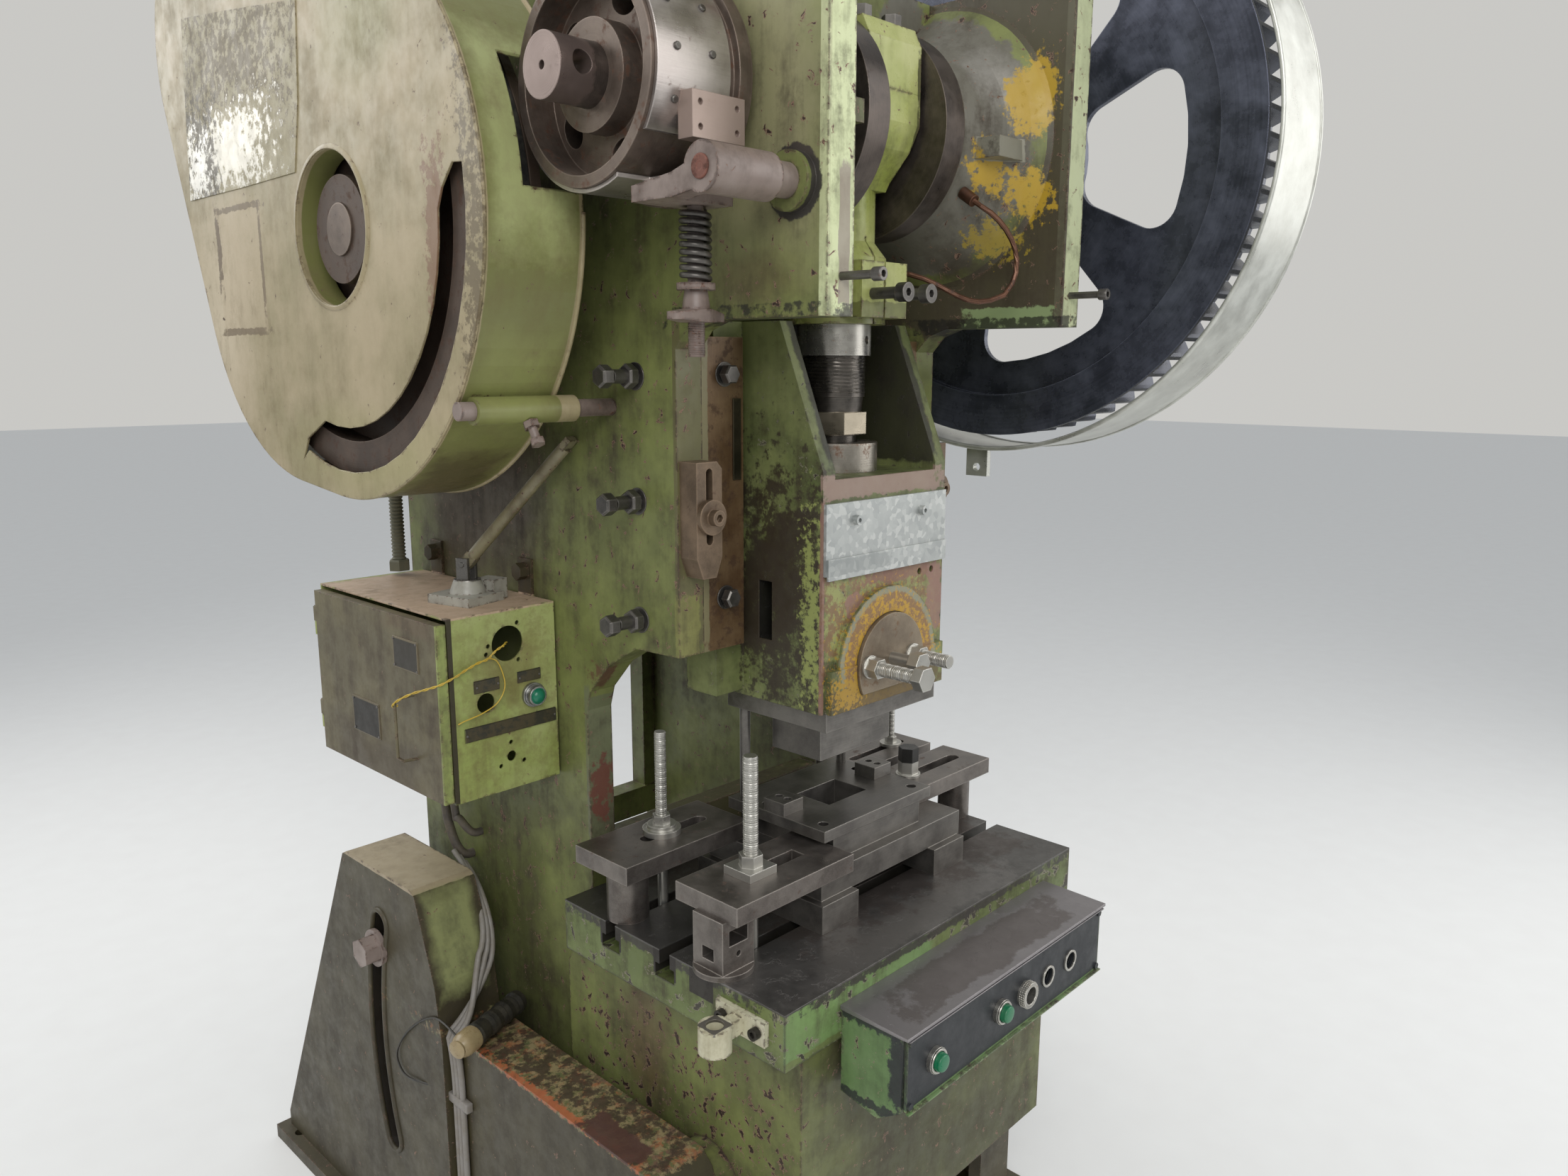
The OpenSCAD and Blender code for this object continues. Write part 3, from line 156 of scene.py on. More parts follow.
@dataclass(frozen=True)
class Patch:
    """A part of a surface with its own tint, in press millimetres."""

    centre: Spot
    half: Spot
    tint: str
    area: Area = Area.BALL
    layer: Layer = Layer.PAINT
    ragged: float = 0.5
    share: float = 1.0
    metal: float = 0.0
    grit: float = 30.0
    soft: float = 0.0

    def mask(self, tree: Tree, where: Socket) -> Socket:
        """Builds the patch's mask.

        Args:
            tree: the material's node tree.
            where: the Object coordinates.

        Returns:
            A value that is share inside the patch and 0 outside.
        """
        centre = at(*self.centre)
        inverse = [1000.0 / h for h in self.half]
        away = add(tree, VECTOR, {0: where, 1: centre}, operation="SUBTRACT").outputs[0]
        away = add(tree, VECTOR, {0: away, 1: inverse}, operation="MULTIPLY").outputs[0]
        if self.area is Area.BALL:
            reach = add(tree, VECTOR, {0: away}, operation="LENGTH").outputs["Value"]
        else:
            flat = add(tree, VECTOR, {0: away}, operation="ABSOLUTE").outputs[0]
            axes = add(tree, "ShaderNodeSeparateXYZ", {0: flat})
            reach = add(tree, MATH, {0: axes.outputs[0], 1: axes.outputs[1]}, operation="MAXIMUM").outputs[0]
            reach = add(tree, MATH, {0: reach, 1: axes.outputs[2]}, operation="MAXIMUM").outputs[0]
        wobble = add(tree, NOISE,
                     {"Vector": where, "Scale": per_mm(self.grit), "Detail": 6.0, "Roughness": 0.7})
        rough = add(tree, MATH, {0: wobble.outputs[0], 1: self.ragged, 2: reach}, operation="MULTIPLY_ADD")
        edge = 1.0 + self.ragged * 0.5
        full = edge - 0.02 - 0.08 * self.ragged - self.soft
        return add(tree, RANGE, {0: rough.outputs[0], 1: edge, 2: full, 3: 0.0, 4: self.share}).outputs[0]


@dataclass(frozen=True)
class Finish:
    """What every finish has: a name, the tints of its patches and the rounding of its edges."""

    name: str
    patches: tuple[Patch, ...] = ()
    rounding: float = 1.5

    def start(self) -> tuple[bpy.types.Material, Tree, bpy.types.Node]:
        """Returns a new material, its cleared tree and its shader, already linked to the output."""
        material = bpy.data.materials.new(self.name)
        material.use_nodes = True
        tree = material.node_tree
        tree.nodes.clear()
        shader = add(tree, "ShaderNodeBsdfPrincipled")
        add(tree, "ShaderNodeOutputMaterial", {"Surface": shader.outputs[0]})
        return material, tree, shader

    def lay_patches(self, tree: Tree, where: Socket, colour: Socket,
                    metal: Socket | float, layer: Layer = Layer.PAINT) -> tuple:
        """Lays the patches of one layer over a colour.

        Args:
            tree: the material's node tree.
            where: the Object coordinates.
            colour: the colour under the patches.
            metal: how metallic the surface is under the patches.
            layer: which of the patches are laid.

        Returns:
            The new colour and the new metallic value.
        """
        for patch in self.patches:
            if patch.layer is not layer:
                continue
            mask = patch.mask(tree, where)
            colour = add(tree, MIX, {0: mask, 6: colour, 7: linear(patch.tint)}, data_type="RGBA").outputs[2]
            metal = add(tree, MIX, {0: mask, 2: metal, 3: patch.metal}).outputs[0]
        return colour, metal

    def build(self) -> bpy.types.Material:
        """Returns the finished material."""
        raise NotImplementedError


@dataclass(frozen=True)
class WornEnamel(Finish):
    """Old enamel brushed on a casting: faded, run with oily grime, chipped to primer and dark metal."""

    coat: str = "#7d8742"
    faded: str = "#9a9c62"
    grime: str = "#443a27"
    primer: str = "#8e6f5c"
    bare: str = "#2f2b28"
    chipped: float = 0.64
    soiled: float = 0.5
    edge_wear: float = 0.15
    chip_size: float = 16.0
    gloss: float = 0.46
    fade_mm: float = 180.0
    cloud_mm: float = 34.0
    run_mm: float = 26.0
    peel_mm: float = 2.4

    def build(self) -> bpy.types.Material:
        """Returns the enamel: wide fading, runs of grime, chips of chip_size and a fine orange peel."""
        material, tree, shader = self.start()
        where = add(tree, "ShaderNodeTexCoord").outputs["Object"]
        normal = add(tree, "ShaderNodeNewGeometry").outputs["Normal"]
        fade = add(tree, NOISE,
                   {"Vector": where, "Scale": per_mm(self.fade_mm), "Detail": 5.0,
                    "Roughness": 0.62}).outputs[0]
        cloud = add(tree, NOISE,
                    {"Vector": where, "Scale": per_mm(self.cloud_mm), "Detail": 7.0,
                     "Roughness": 0.72}).outputs[0]
        down = add(tree, MAPPING, {"Vector": where, "Scale": (1.0, 1.0, 0.13)}).outputs[0]
        run = add(tree, NOISE,
                  {"Vector": down, "Scale": per_mm(self.run_mm), "Detail": 6.0, "Roughness": 0.66}).outputs[0]
        speck = add(tree, NOISE,
                    {"Vector": where, "Scale": per_mm(self.chip_size), "Detail": 9.0, "Roughness": 0.66,
                     "Distortion": 0.5}).outputs[0]
        soft = add(tree, "ShaderNodeBevel", {"Radius": 0.007}, samples=4).outputs[0]
        turned = add(tree, VECTOR, {0: soft, 1: normal}, operation="DOT_PRODUCT").outputs["Value"]
        edge = add(tree, RANGE, {0: turned, 1: 0.995, 2: 0.86, 3: 0.0, 4: self.edge_wear}).outputs[0]

        fading = add(tree, RANGE, {0: fade, 1: 0.40, 2: 0.62, 3: 0.0, 4: 1.0}).outputs[0]
        colour = add(tree, MIX, {0: fading, 6: linear(self.coat), 7: linear(self.faded)},
                     data_type="RGBA").outputs[2]
        film = add(tree, MATH, {0: run, 1: cloud}, operation="ADD").outputs[0]
        film = add(tree, RANGE, {0: film, 1: 0.92, 2: 1.32, 3: 0.0, 4: self.soiled}).outputs[0]
        wide = add(tree, RANGE, {0: fade, 1: 0.58, 2: 0.40, 3: 0.35, 4: 1.35}).outputs[0]
        film = add(tree, MATH, {0: film, 1: wide}, operation="MULTIPLY", use_clamp=True).outputs[0]
        colour, metal = self.lay_patches(tree, where, colour, 0.0)
        colour = add(tree, MIX, {0: film, 6: colour, 7: linear(self.grime)}, data_type="RGBA").outputs[2]

        worn = add(tree, MATH, {0: speck, 1: edge}, operation="ADD").outputs[0]
        worn = add(tree, MATH, {0: cloud, 1: 0.16, 2: worn}, operation="MULTIPLY_ADD").outputs[0]
        for patch in self.patches:
            if patch.layer is Layer.LOSS:
                worn = add(tree, MATH, {0: worn, 1: patch.mask(tree, where)}, operation="ADD").outputs[0]
        limit = self.chipped + 0.08
        ring = add(tree, RANGE, {0: worn, 1: limit - 0.022, 2: limit - 0.012}).outputs[0]
        core = add(tree, RANGE, {0: worn, 1: limit, 2: limit + 0.012}).outputs[0]
        colour = add(tree, MIX, {0: ring, 6: colour, 7: linear(self.primer)}, data_type="RGBA").outputs[2]
        flecks = add(tree, MIX, {0: cloud, 6: linear(self.bare), 7: linear(self.primer)},
                     data_type="RGBA").outputs[2]
        under = add(tree, MIX, {0: 0.75, 6: flecks, 7: linear(self.bare)}, data_type="RGBA").outputs[2]
        colour = add(tree, MIX, {0: core, 6: colour, 7: under}, data_type="RGBA").outputs[2]
        metal = add(tree, MATH, {0: core, 1: 0.5, 2: metal}, operation="MULTIPLY_ADD",
                    use_clamp=True).outputs[0]
        colour, metal = self.lay_patches(tree, where, colour, metal, Layer.BARE)

        peel = add(tree, NOISE, {"Vector": where, "Scale": per_mm(self.peel_mm), "Detail": 2.0}).outputs[0]
        height = add(tree, MATH, {0: peel, 1: 0.10, 2: ring}, operation="MULTIPLY_ADD").outputs[0]
        height = add(tree, MATH, {0: fade, 1: -1.6, 2: height}, operation="MULTIPLY_ADD").outputs[0]
        round_edge = add(tree, "ShaderNodeBevel", {"Radius": self.rounding / 1000}, samples=4).outputs[0]
        relief = add(tree, "ShaderNodeBump", {"Height": height, "Normal": round_edge, "Strength": 0.55,
                                              "Distance": 0.0008}, invert=True).outputs[0]
        rough = add(tree, RANGE,
                    {0: cloud, 1: 0.3, 2: 0.7, 3: self.gloss - 0.1, 4: self.gloss + 0.16}).outputs[0]
        rough = add(tree, MIX, {0: film, 2: rough, 3: 0.62}).outputs[0]
        rough = add(tree, MATH, {0: metal, 1: -0.12, 2: rough}, operation="MULTIPLY_ADD").outputs[0]
        feed(tree, shader, {"Base Color": colour, "Roughness": rough, "Metallic": metal, "Normal": relief})
        return material


@dataclass(frozen=True)
class WorkedSteel(Finish):
    """Cut or rolled steel under an oil film: dark, streaked along its tool marks and touched by rust."""

    dark: str = "#3a3733"
    bright: str = "#77736c"
    rust: str = "#5c3a22"
    rusted: float = 0.62
    grain: Grain = Grain.NONE
    lathe_at: Spot | None = None
    lathe_axis: Spot = (1.0, 0.0, 0.0)
    mark: float = 1.4
    metallic: float = 0.85
    gloss: float = 0.36
    shine: float = 0.5
    cloud_mm: float = 60.0
    bloom_mm: float = 18.0

    def lathe_marks(self, tree: Tree, where: Socket) -> Socket:
        """Returns coordinates that change only with the distance from the lathe's axis and along it.

        Args:
            tree: the material's node tree.
            where: the Object coordinates.

        Returns:
            A vector of radius and place along the axis.
        """
        off = add(tree, VECTOR, {0: where, 1: at(*self.lathe_at)}, operation="SUBTRACT").outputs[0]
        across = tuple(1.0 - value for value in self.lathe_axis)
        flat = add(tree, VECTOR, {0: off, 1: across}, operation="MULTIPLY").outputs[0]
        radius = add(tree, VECTOR, {0: flat}, operation="LENGTH").outputs["Value"]
        place = add(tree, VECTOR, {0: off, 1: self.lathe_axis}, operation="DOT_PRODUCT").outputs["Value"]
        return add(tree, "ShaderNodeCombineXYZ", {0: radius, 1: place}).outputs[0]

    def build(self) -> bpy.types.Material:
        """Returns the steel: tool marks every mark millimetres, clouds of oil and blooms of rust."""
        material, tree, shader = self.start()
        where = add(tree, "ShaderNodeTexCoord").outputs["Object"]
        normal = add(tree, "ShaderNodeNewGeometry").outputs["Normal"]
        cloud = add(tree, NOISE,
                    {"Vector": where, "Scale": per_mm(self.cloud_mm), "Detail": 6.0,
                     "Roughness": 0.66}).outputs[0]
        along = self.lathe_marks(tree, where) if self.lathe_at else add(
            tree, MAPPING, {"Vector": where, "Scale": self.grain.value}).outputs[0]
        marks = add(tree, NOISE, {"Vector": along, "Scale": per_mm(self.mark), "Detail": 4.0}).outputs[0]
        bloom = add(tree, NOISE,
                    {"Vector": where, "Scale": per_mm(self.bloom_mm), "Detail": 8.0,
                     "Roughness": 0.7}).outputs[0]
        soft = add(tree, "ShaderNodeBevel", {"Radius": 0.003}, samples=4).outputs[0]
        turned = add(tree, VECTOR, {0: soft, 1: normal}, operation="DOT_PRODUCT").outputs["Value"]
        edge = add(tree, RANGE, {0: turned, 1: 0.995, 2: 0.88, 3: 0.0, 4: 0.8}).outputs[0]
        tone = add(tree, RANGE, {0: cloud, 1: 0.38, 2: 0.64, 3: 0.0, 4: self.shine}).outputs[0]
        tone = add(tree, MATH, {0: marks, 1: 0.35, 2: tone}, operation="MULTIPLY_ADD").outputs[0]
        tone = add(tree, MATH, {0: tone, 1: edge}, operation="ADD", use_clamp=True).outputs[0]
        colour = add(tree, MIX, {0: tone, 6: linear(self.dark), 7: linear(self.bright)},
                     data_type="RGBA").outputs[2]
        bitten = add(tree, RANGE, {0: bloom, 1: self.rusted, 2: self.rusted + 0.1, 3: 0.0, 4: 0.8}).outputs[0]
        colour = add(tree, MIX, {0: bitten, 6: colour, 7: linear(self.rust)}, data_type="RGBA").outputs[2]
        metal = add(tree, MIX, {0: bitten, 2: self.metallic, 3: 0.15}).outputs[0]
        colour, metal = self.lay_patches(tree, where, colour, metal)
        rough = add(tree, RANGE,
                    {0: cloud, 1: 0.3, 2: 0.7, 3: self.gloss - 0.08, 4: self.gloss + 0.14}).outputs[0]
        rough = add(tree, MATH, {0: bitten, 1: 0.3, 2: rough}, operation="MULTIPLY_ADD").outputs[0]
        height = add(tree, MATH, {0: bloom, 1: 0.5, 2: marks}, operation="MULTIPLY_ADD").outputs[0]
        round_edge = add(tree, "ShaderNodeBevel", {"Radius": self.rounding / 1000}, samples=4).outputs[0]
        relief = add(tree, "ShaderNodeBump", {"Height": height, "Normal": round_edge, "Strength": 0.35,
                                              "Distance": 0.0003}).outputs[0]
        feed(tree, shader, {"Base Color": colour, "Roughness": rough, "Metallic": metal, "Normal": relief})
        return material


@dataclass(frozen=True)
class ZincSheet(Finish):
    """Hot-dip galvanised sheet: flat grey spangles with soft white bloom."""

    pale: str = "#b6b8b5"
    grey: str = "#9c9f9d"
    fleck: str = "#c9cac6"
    spangle_mm: float = 9.0
    bend_mm: float = 14.0
    bloom_mm: float = 60.0

    def build(self) -> bpy.types.Material:
        """Returns the zinc: bent spangles, a few of them white, and clouds of bloom."""
        material, tree, shader = self.start()
        where = add(tree, "ShaderNodeTexCoord").outputs["Object"]
        bent = add(tree, NOISE,
                   {"Vector": where, "Scale": per_mm(self.bend_mm), "Detail": 2.0}).outputs["Color"]
        bent = add(tree, VECTOR, {0: bent, 3: 0.008}, operation="SCALE").outputs[0]
        bent = add(tree, VECTOR, {0: where, 1: bent}, operation="ADD").outputs[0]
        cells = add(tree, "ShaderNodeTexVoronoi",
                    {"Vector": bent, "Scale": per_mm(self.spangle_mm)}).outputs["Color"]
        grey = add(tree, "ShaderNodeRGBToBW", {0: cells}).outputs[0]
        bloom = add(tree, NOISE,
                    {"Vector": where, "Scale": per_mm(self.bloom_mm), "Detail": 6.0,
                     "Roughness": 0.6}).outputs[0]
        tone = add(tree, MATH, {0: grey, 1: 0.8, 2: bloom}, operation="MULTIPLY_ADD").outputs[0]
        tone = add(tree, RANGE, {0: tone, 1: 0.6, 2: 1.3}).outputs[0]
        colour = add(tree, MIX, {0: tone, 6: linear(self.grey), 7: linear(self.pale)},
                     data_type="RGBA").outputs[2]
        white = add(tree, RANGE, {0: grey, 1: 0.66, 2: 0.72, 3: 0.0, 4: 0.32}).outputs[0]
        colour = add(tree, MIX, {0: white, 6: colour, 7: linear(self.fleck)}, data_type="RGBA").outputs[2]
        colour, _ = self.lay_patches(tree, where, colour, 0.6)
        rough = add(tree, RANGE, {0: grey, 3: 0.38, 4: 0.58}).outputs[0]
        relief = add(tree, "ShaderNodeBump",
                     {"Height": bloom, "Strength": 0.25, "Distance": 0.001}).outputs[0]
        feed(tree, shader, {"Base Color": colour, "Roughness": rough, "Metallic": 0.6, "Normal": relief})
        return material


@dataclass(frozen=True)
class Moulded(Finish):
    """Moulded plastic or rubber in use: even colour with dust, rubbed marks and a faint pebble."""

    body: str = "#0f6b48"
    dust: str = "#8b8470"
    dusty: float = 0.25
    gloss: float = 0.3
    pebble: float = 1.2
    cloud_mm: float = 25.0

    def build(self) -> bpy.types.Material:
        """Returns the moulding: clouds of dust and a pebble of a millimetre or so."""
        material, tree, shader = self.start()
        where = add(tree, "ShaderNodeTexCoord").outputs["Object"]
        cloud = add(tree, NOISE,
                    {"Vector": where, "Scale": per_mm(self.cloud_mm), "Detail": 7.0,
                     "Roughness": 0.7}).outputs[0]
        grit = add(tree, NOISE, {"Vector": where, "Scale": per_mm(self.pebble), "Detail": 3.0}).outputs[0]
        film = add(tree, RANGE, {0: cloud, 1: 0.42, 2: 0.72, 3: 0.0, 4: self.dusty}).outputs[0]
        colour = add(tree, MIX, {0: film, 6: linear(self.body), 7: linear(self.dust)},
                     data_type="RGBA").outputs[2]
        colour, _ = self.lay_patches(tree, where, colour, 0.0)
        rough = add(tree, RANGE, {0: cloud, 1: 0.3, 2: 0.7, 3: self.gloss, 4: self.gloss + 0.2}).outputs[0]
        relief = add(tree, "ShaderNodeBump", {"Height": grit, "Strength": 0.2, "Distance": 0.0002}).outputs[0]
        feed(tree, shader, {"Base Color": colour, "Roughness": rough, "Normal": relief})
        return material


YELLOW, BOSS_BROWN, STEEL_TOP = "#b3922a", "#68645a", "#8f8b8c"
PAINT, BARE, LOSS = Layer.PAINT, Layer.BARE, Layer.LOSS
BALL, BLOCK = Area.BALL, Area.BLOCK

# Finishes. A patch lies where its tint was seen on the press, in press millimetres.

# Enamel brushed on rough cast iron: soft gloss, darker low down, paler on edges that rags reach
FRAME_ENAMEL = WornEnamel("olive machine enamel on cast iron", coat="#585c33", faded="#787e48",
                          grime="#3b3224", soiled=0.85, patches=(
    Patch((-261, 4, 1900), (26, 9, 262), "#c4cb9c", BLOCK, PAINT, 0.15, 0.95),
    Patch((261, 4, 1900), (26, 9, 262), "#bfc59c", BLOCK, PAINT, 0.15, 0.95),
    Patch((-255, 3, 1745), (10, 9, 75), "#86796d", BLOCK, BARE, 0.9, 0.85, grit=34),
    # painted shade: the right cheek's inner face, deep in the throat, is darkened
    Patch((237, 170, 1900), (5, 200, 262), "#453d31", BLOCK, PAINT, 0.5, 0.9, grit=50),
    Patch((170, 235, 1924), (92, 236, 236), BOSS_BROWN, BALL, PAINT, 0.4, 0.95),
    # painted highlight: the crank boss's upper front side is lightened to a silver sheen
    Patch((205, 140, 1990), (60, 80, 66), "#98948c", BALL, PAINT, 0.9, 0.85, metal=0.5, soft=0.35),
    Patch((205, 48, 1985), (56, 36, 66), YELLOW, BALL, BARE, 1.9, 0.9, grit=16),
    Patch((200, 104, 1885), (60, 30, 46), YELLOW, BALL, BARE, 2.2, 0.92, grit=14),
    Patch((205, 48, 1842), (56, 34, 42), YELLOW, BALL, BARE, 2.6, 0.9, grit=13),
    Patch((200, 104, 1778), (60, 46, 34), "#a08a2e", BALL, BARE, 3.4, 0.85, grit=12),
    Patch((185, 150, 1740), (80, 90, 44), "#3d3629", BALL, PAINT, 0.9, 0.8, soft=0.4),
    Patch((195, 90, 1904), (46, 34, 16), "#8a8778", BLOCK, BARE, 0.5, 0.9, metal=0.3),
    Patch((232, 90, 1668), (12, 86, 18), "#87986a", BLOCK, BARE, 1.2, 0.9, grit=26),
    # painted shade: the throat round the crank's left part is darkened
    Patch((-150, 235, 1924), (92, 160, 170), "#33312b", BALL, PAINT, 0.5, 0.9),
    Patch((0, 130, 1658), (290, 150, 13), "#211f1b", BLOCK, BARE, 1.3, 0.85, grit=20),
    Patch((-285, 52, 1806), (12, 44, 44), "#4b4744", BALL, BARE, 0.35, 0.95, metal=0.6, grit=14),
    Patch((-285, 115, 1900), (6, 135, 235), "#8f8a68", BLOCK, PAINT, 0.8, 0.8, grit=120, soft=0.5),
    Patch((-285, 120, 1700), (6, 100, 40), "#5d5236", BALL, PAINT, 1.1, 0.6, grit=50, soft=0.5),
    Patch((-306, 800, 760), (8, 260, 230), "#2e261f", BALL, PAINT, 0.7, 0.85, soft=0.5),
    Patch((-285, 120, 2060), (6, 16, 34), "#6e4034", BALL, BARE, 2.6, 0.85, grit=12),
    Patch((-285, 760, 1420), (6, 270, 260), "#57493c", BALL, PAINT, 0.9, 0.85, grit=90, soft=0.5),
    Patch((-261, 478, 990), (26, 7, 130), "#6b6f55", BLOCK, PAINT, 0.6, 0.8),
    Patch((-261, 476, 950), (26, 9, 56), "#6a3a30", BALL, BARE, 3.0, 0.85, grit=18),
    Patch((-272, 440, 1140), (14, 44, 36), "#5d3c30", BALL, BARE, 2.8, 0.8, grit=16),
    Patch((-261, 262, 1430), (26, 8, 240), "#5f5a3c", BLOCK, PAINT, 0.5, 0.85),
    Patch((-270, 262, 1230), (26, 10, 60), "#86864a", BLOCK, PAINT, 1.0, 0.6),
    Patch((0, 480, 880), (330, 300, 210), "#3f3829", BALL, PAINT, 0.7, 0.85, soft=0.5),
    Patch((0, 300, 380), (330, 500, 380), "#3b3826", BLOCK, PAINT, 0.6, 0.8, grit=160, soft=0.35),
    Patch((-306, 330, 600), (6, 70, 150), "#5f4a36", BALL, PAINT, 1.2, 0.6, grit=60, soft=0.5),
    Patch((-306, 240, 560), (6, 240, 110), "#352b1f", BLOCK, LOSS, 1.6, 0.06, grit=60),
))
# The same enamel near the floor: browned by oil and dust, its coat darkened further as painted shade, flaked
# to rust where feet and parts rub
LEG_ENAMEL = WornEnamel("browned olive enamel on the cast legs", coat="#3b3524", faded="#4a4431",
                        grime="#2a2218", soiled=0.5, chipped=0.675, patches=(
    Patch((-385, 400, 522), (62, 265, 6), "#6a5140", BLOCK, BARE, 0.6, 0.97, grit=20),
    Patch((-385, 400, 522), (58, 250, 6), "#96603c", BLOCK, BARE, 6.0, 0.8, grit=24),
    Patch((-385, 400, 522), (58, 250, 6), "#525c38", BLOCK, BARE, 7.0, 0.85, grit=17),
    Patch((-385, 400, 522), (56, 240, 6), "#8f7f5c", BLOCK, BARE, 9.0, 0.75, grit=11),
    Patch((-385, 400, 522), (60, 250, 6), "#33271f", BLOCK, BARE, 8.0, 0.85, grit=21),
    Patch((-428, 420, 522), (10, 200, 6), "#a85f3c", BLOCK, BARE, 5.0, 0.85, grit=14),
    Patch((-412, 270, 522), (26, 66, 6), "#4d332c", BLOCK, BARE, 1.3, 0.95, grit=24),
    Patch((-395, 860, 752), (64, 140, 8), "#a5967b", BLOCK, PAINT, 0.5, 0.9),
    Patch((-395, 700, 660), (50, 46, 96), "#8c9060", BLOCK, PAINT, 0.5, 0.9, soft=0.3),
    Patch((-394, 874, 440), (54, 100, 290), "#241f19", BLOCK, BARE, 0.02, 0.95),
    Patch((-441, 620, 300), (10, 60, 260), "#6a6136", BLOCK, PAINT, 1.2, 0.5, grit=90, soft=0.6),
    Patch((385, 400, 522), (62, 265, 6), "#5d4838", BLOCK, BARE, 0.6, 0.97, grit=20),
))
# Enamel on the moving slide: flaked in large scabs that show greasy dark iron
SLIDE_ENAMEL = WornEnamel("flaking enamel on the slide", coat="#525a33", faded="#7b8150", grime="#352b1d",
                          primer="#84806a", bare="#2a241e", soiled=0.85, chipped=0.655, edge_wear=0.08,
                          patches=(
    Patch((-141, 215, 1330), (5, 76, 96), "#322a1f", BLOCK, BARE, 4.2, 0.94, grit=58),
    Patch((-141, 240, 1215), (5, 100, 60), "#322a1f", BLOCK, BARE, 5.0, 0.94, grit=46),
    Patch((-141, 240, 1270), (5, 110, 150), "#322a1f", BLOCK, BARE, 9.0, 0.9, grit=16),
    Patch((-141, 150, 1250), (5, 18, 130), "#8a9152", BLOCK, BARE, 6.0, 0.9, grit=12),
    Patch((141, 215, 1330), (5, 76, 96), "#322a1f", BLOCK, BARE, 4.2, 0.94, grit=58),
    Patch((-140, 130, 1260), (5, 5, 160), "#86665a", BLOCK, BARE, 0.8, 0.9, grit=20),
    Patch((0, 126, 1434), (141, 8, 18), "#8a7468", BLOCK, BARE, 1.3, 0.9, grit=20),
    Patch((0, 129, 1250), (139, 4, 60), "#8f9158", BLOCK, PAINT, 0.6, 0.85, grit=24),
    Patch((0, 129, 1250), (139, 4, 60), "#74563f", BLOCK, BARE, 8.0, 0.85, grit=16),
    Patch((30, 129, 1300), (100, 4, 14), "#7d5a4c", BLOCK, BARE, 2.6, 0.85, grit=22),
    Patch((-70, 129, 1262), (24, 4, 20), "#86665a", BALL, BARE, 1.2, 0.85, grit=18),
    Patch((122, 129, 1250), (20, 4, 56), "#86665a", BLOCK, BARE, 2.2, 0.85, grit=22),
    Patch((0, 120, 1171), (113, 22, 113), "#85836f", BALL, BARE, 0.12, 0.9, grit=12),
    Patch((0, 120, 1171), (104, 22, 104), "#80603c", BALL, BARE, 0.16, 0.95, grit=9),
    Patch((0, 120, 1171), (103, 22, 103), "#b08a26", BALL, BARE, 5.0, 0.9, grit=7),
    Patch((0, 118, 1128), (136, 6, 22), "#594a2c", BLOCK, BARE, 0.8, 0.85, grit=14),
    Patch((-96, 118, 1140), (34, 6, 26), "#a5822a", BLOCK, BARE, 6.0, 0.9, grit=6),
    Patch((0, 170, 1560), (142, 80, 112), "#6d7152", BLOCK, PAINT, 0.5, 0.5, soft=0.3),
    Patch((0, 240, 1560), (128, 110, 108), "#26221d", BLOCK, BARE, 0.25, 0.85, grit=40),
    Patch((127, 200, 1500), (8, 50, 50), "#5a372b", BALL, BARE, 0.9, 0.9, grit=30),
    # painted shade: the inside of the slot in the slide's left side is drawn near black
    Patch((-109, 239, 1251), (30, 14, 44), "#191714", BLOCK, BARE, 0.02, 0.97),
))
# Fresh oil keeps this enamel wet: the brightest green, with sharp highlights
ROD_ENAMEL = WornEnamel("glossy green enamel on the connecting rod", coat="#939b4c", faded="#b2b478",
                        grime="#474524", soiled=0.6, chipped=0.67, gloss=0.3, patches=(
    Patch((0, 235, 1665), (80, 120, 22), "#56582e", BLOCK, PAINT, 0.8, 0.7),
    # painted shade: the big end's right side, facing the right cheek, is darkened
    Patch((60, 235, 1900), (10, 120, 120), "#3b3a26", BLOCK, PAINT, 0.8, 0.8),
))
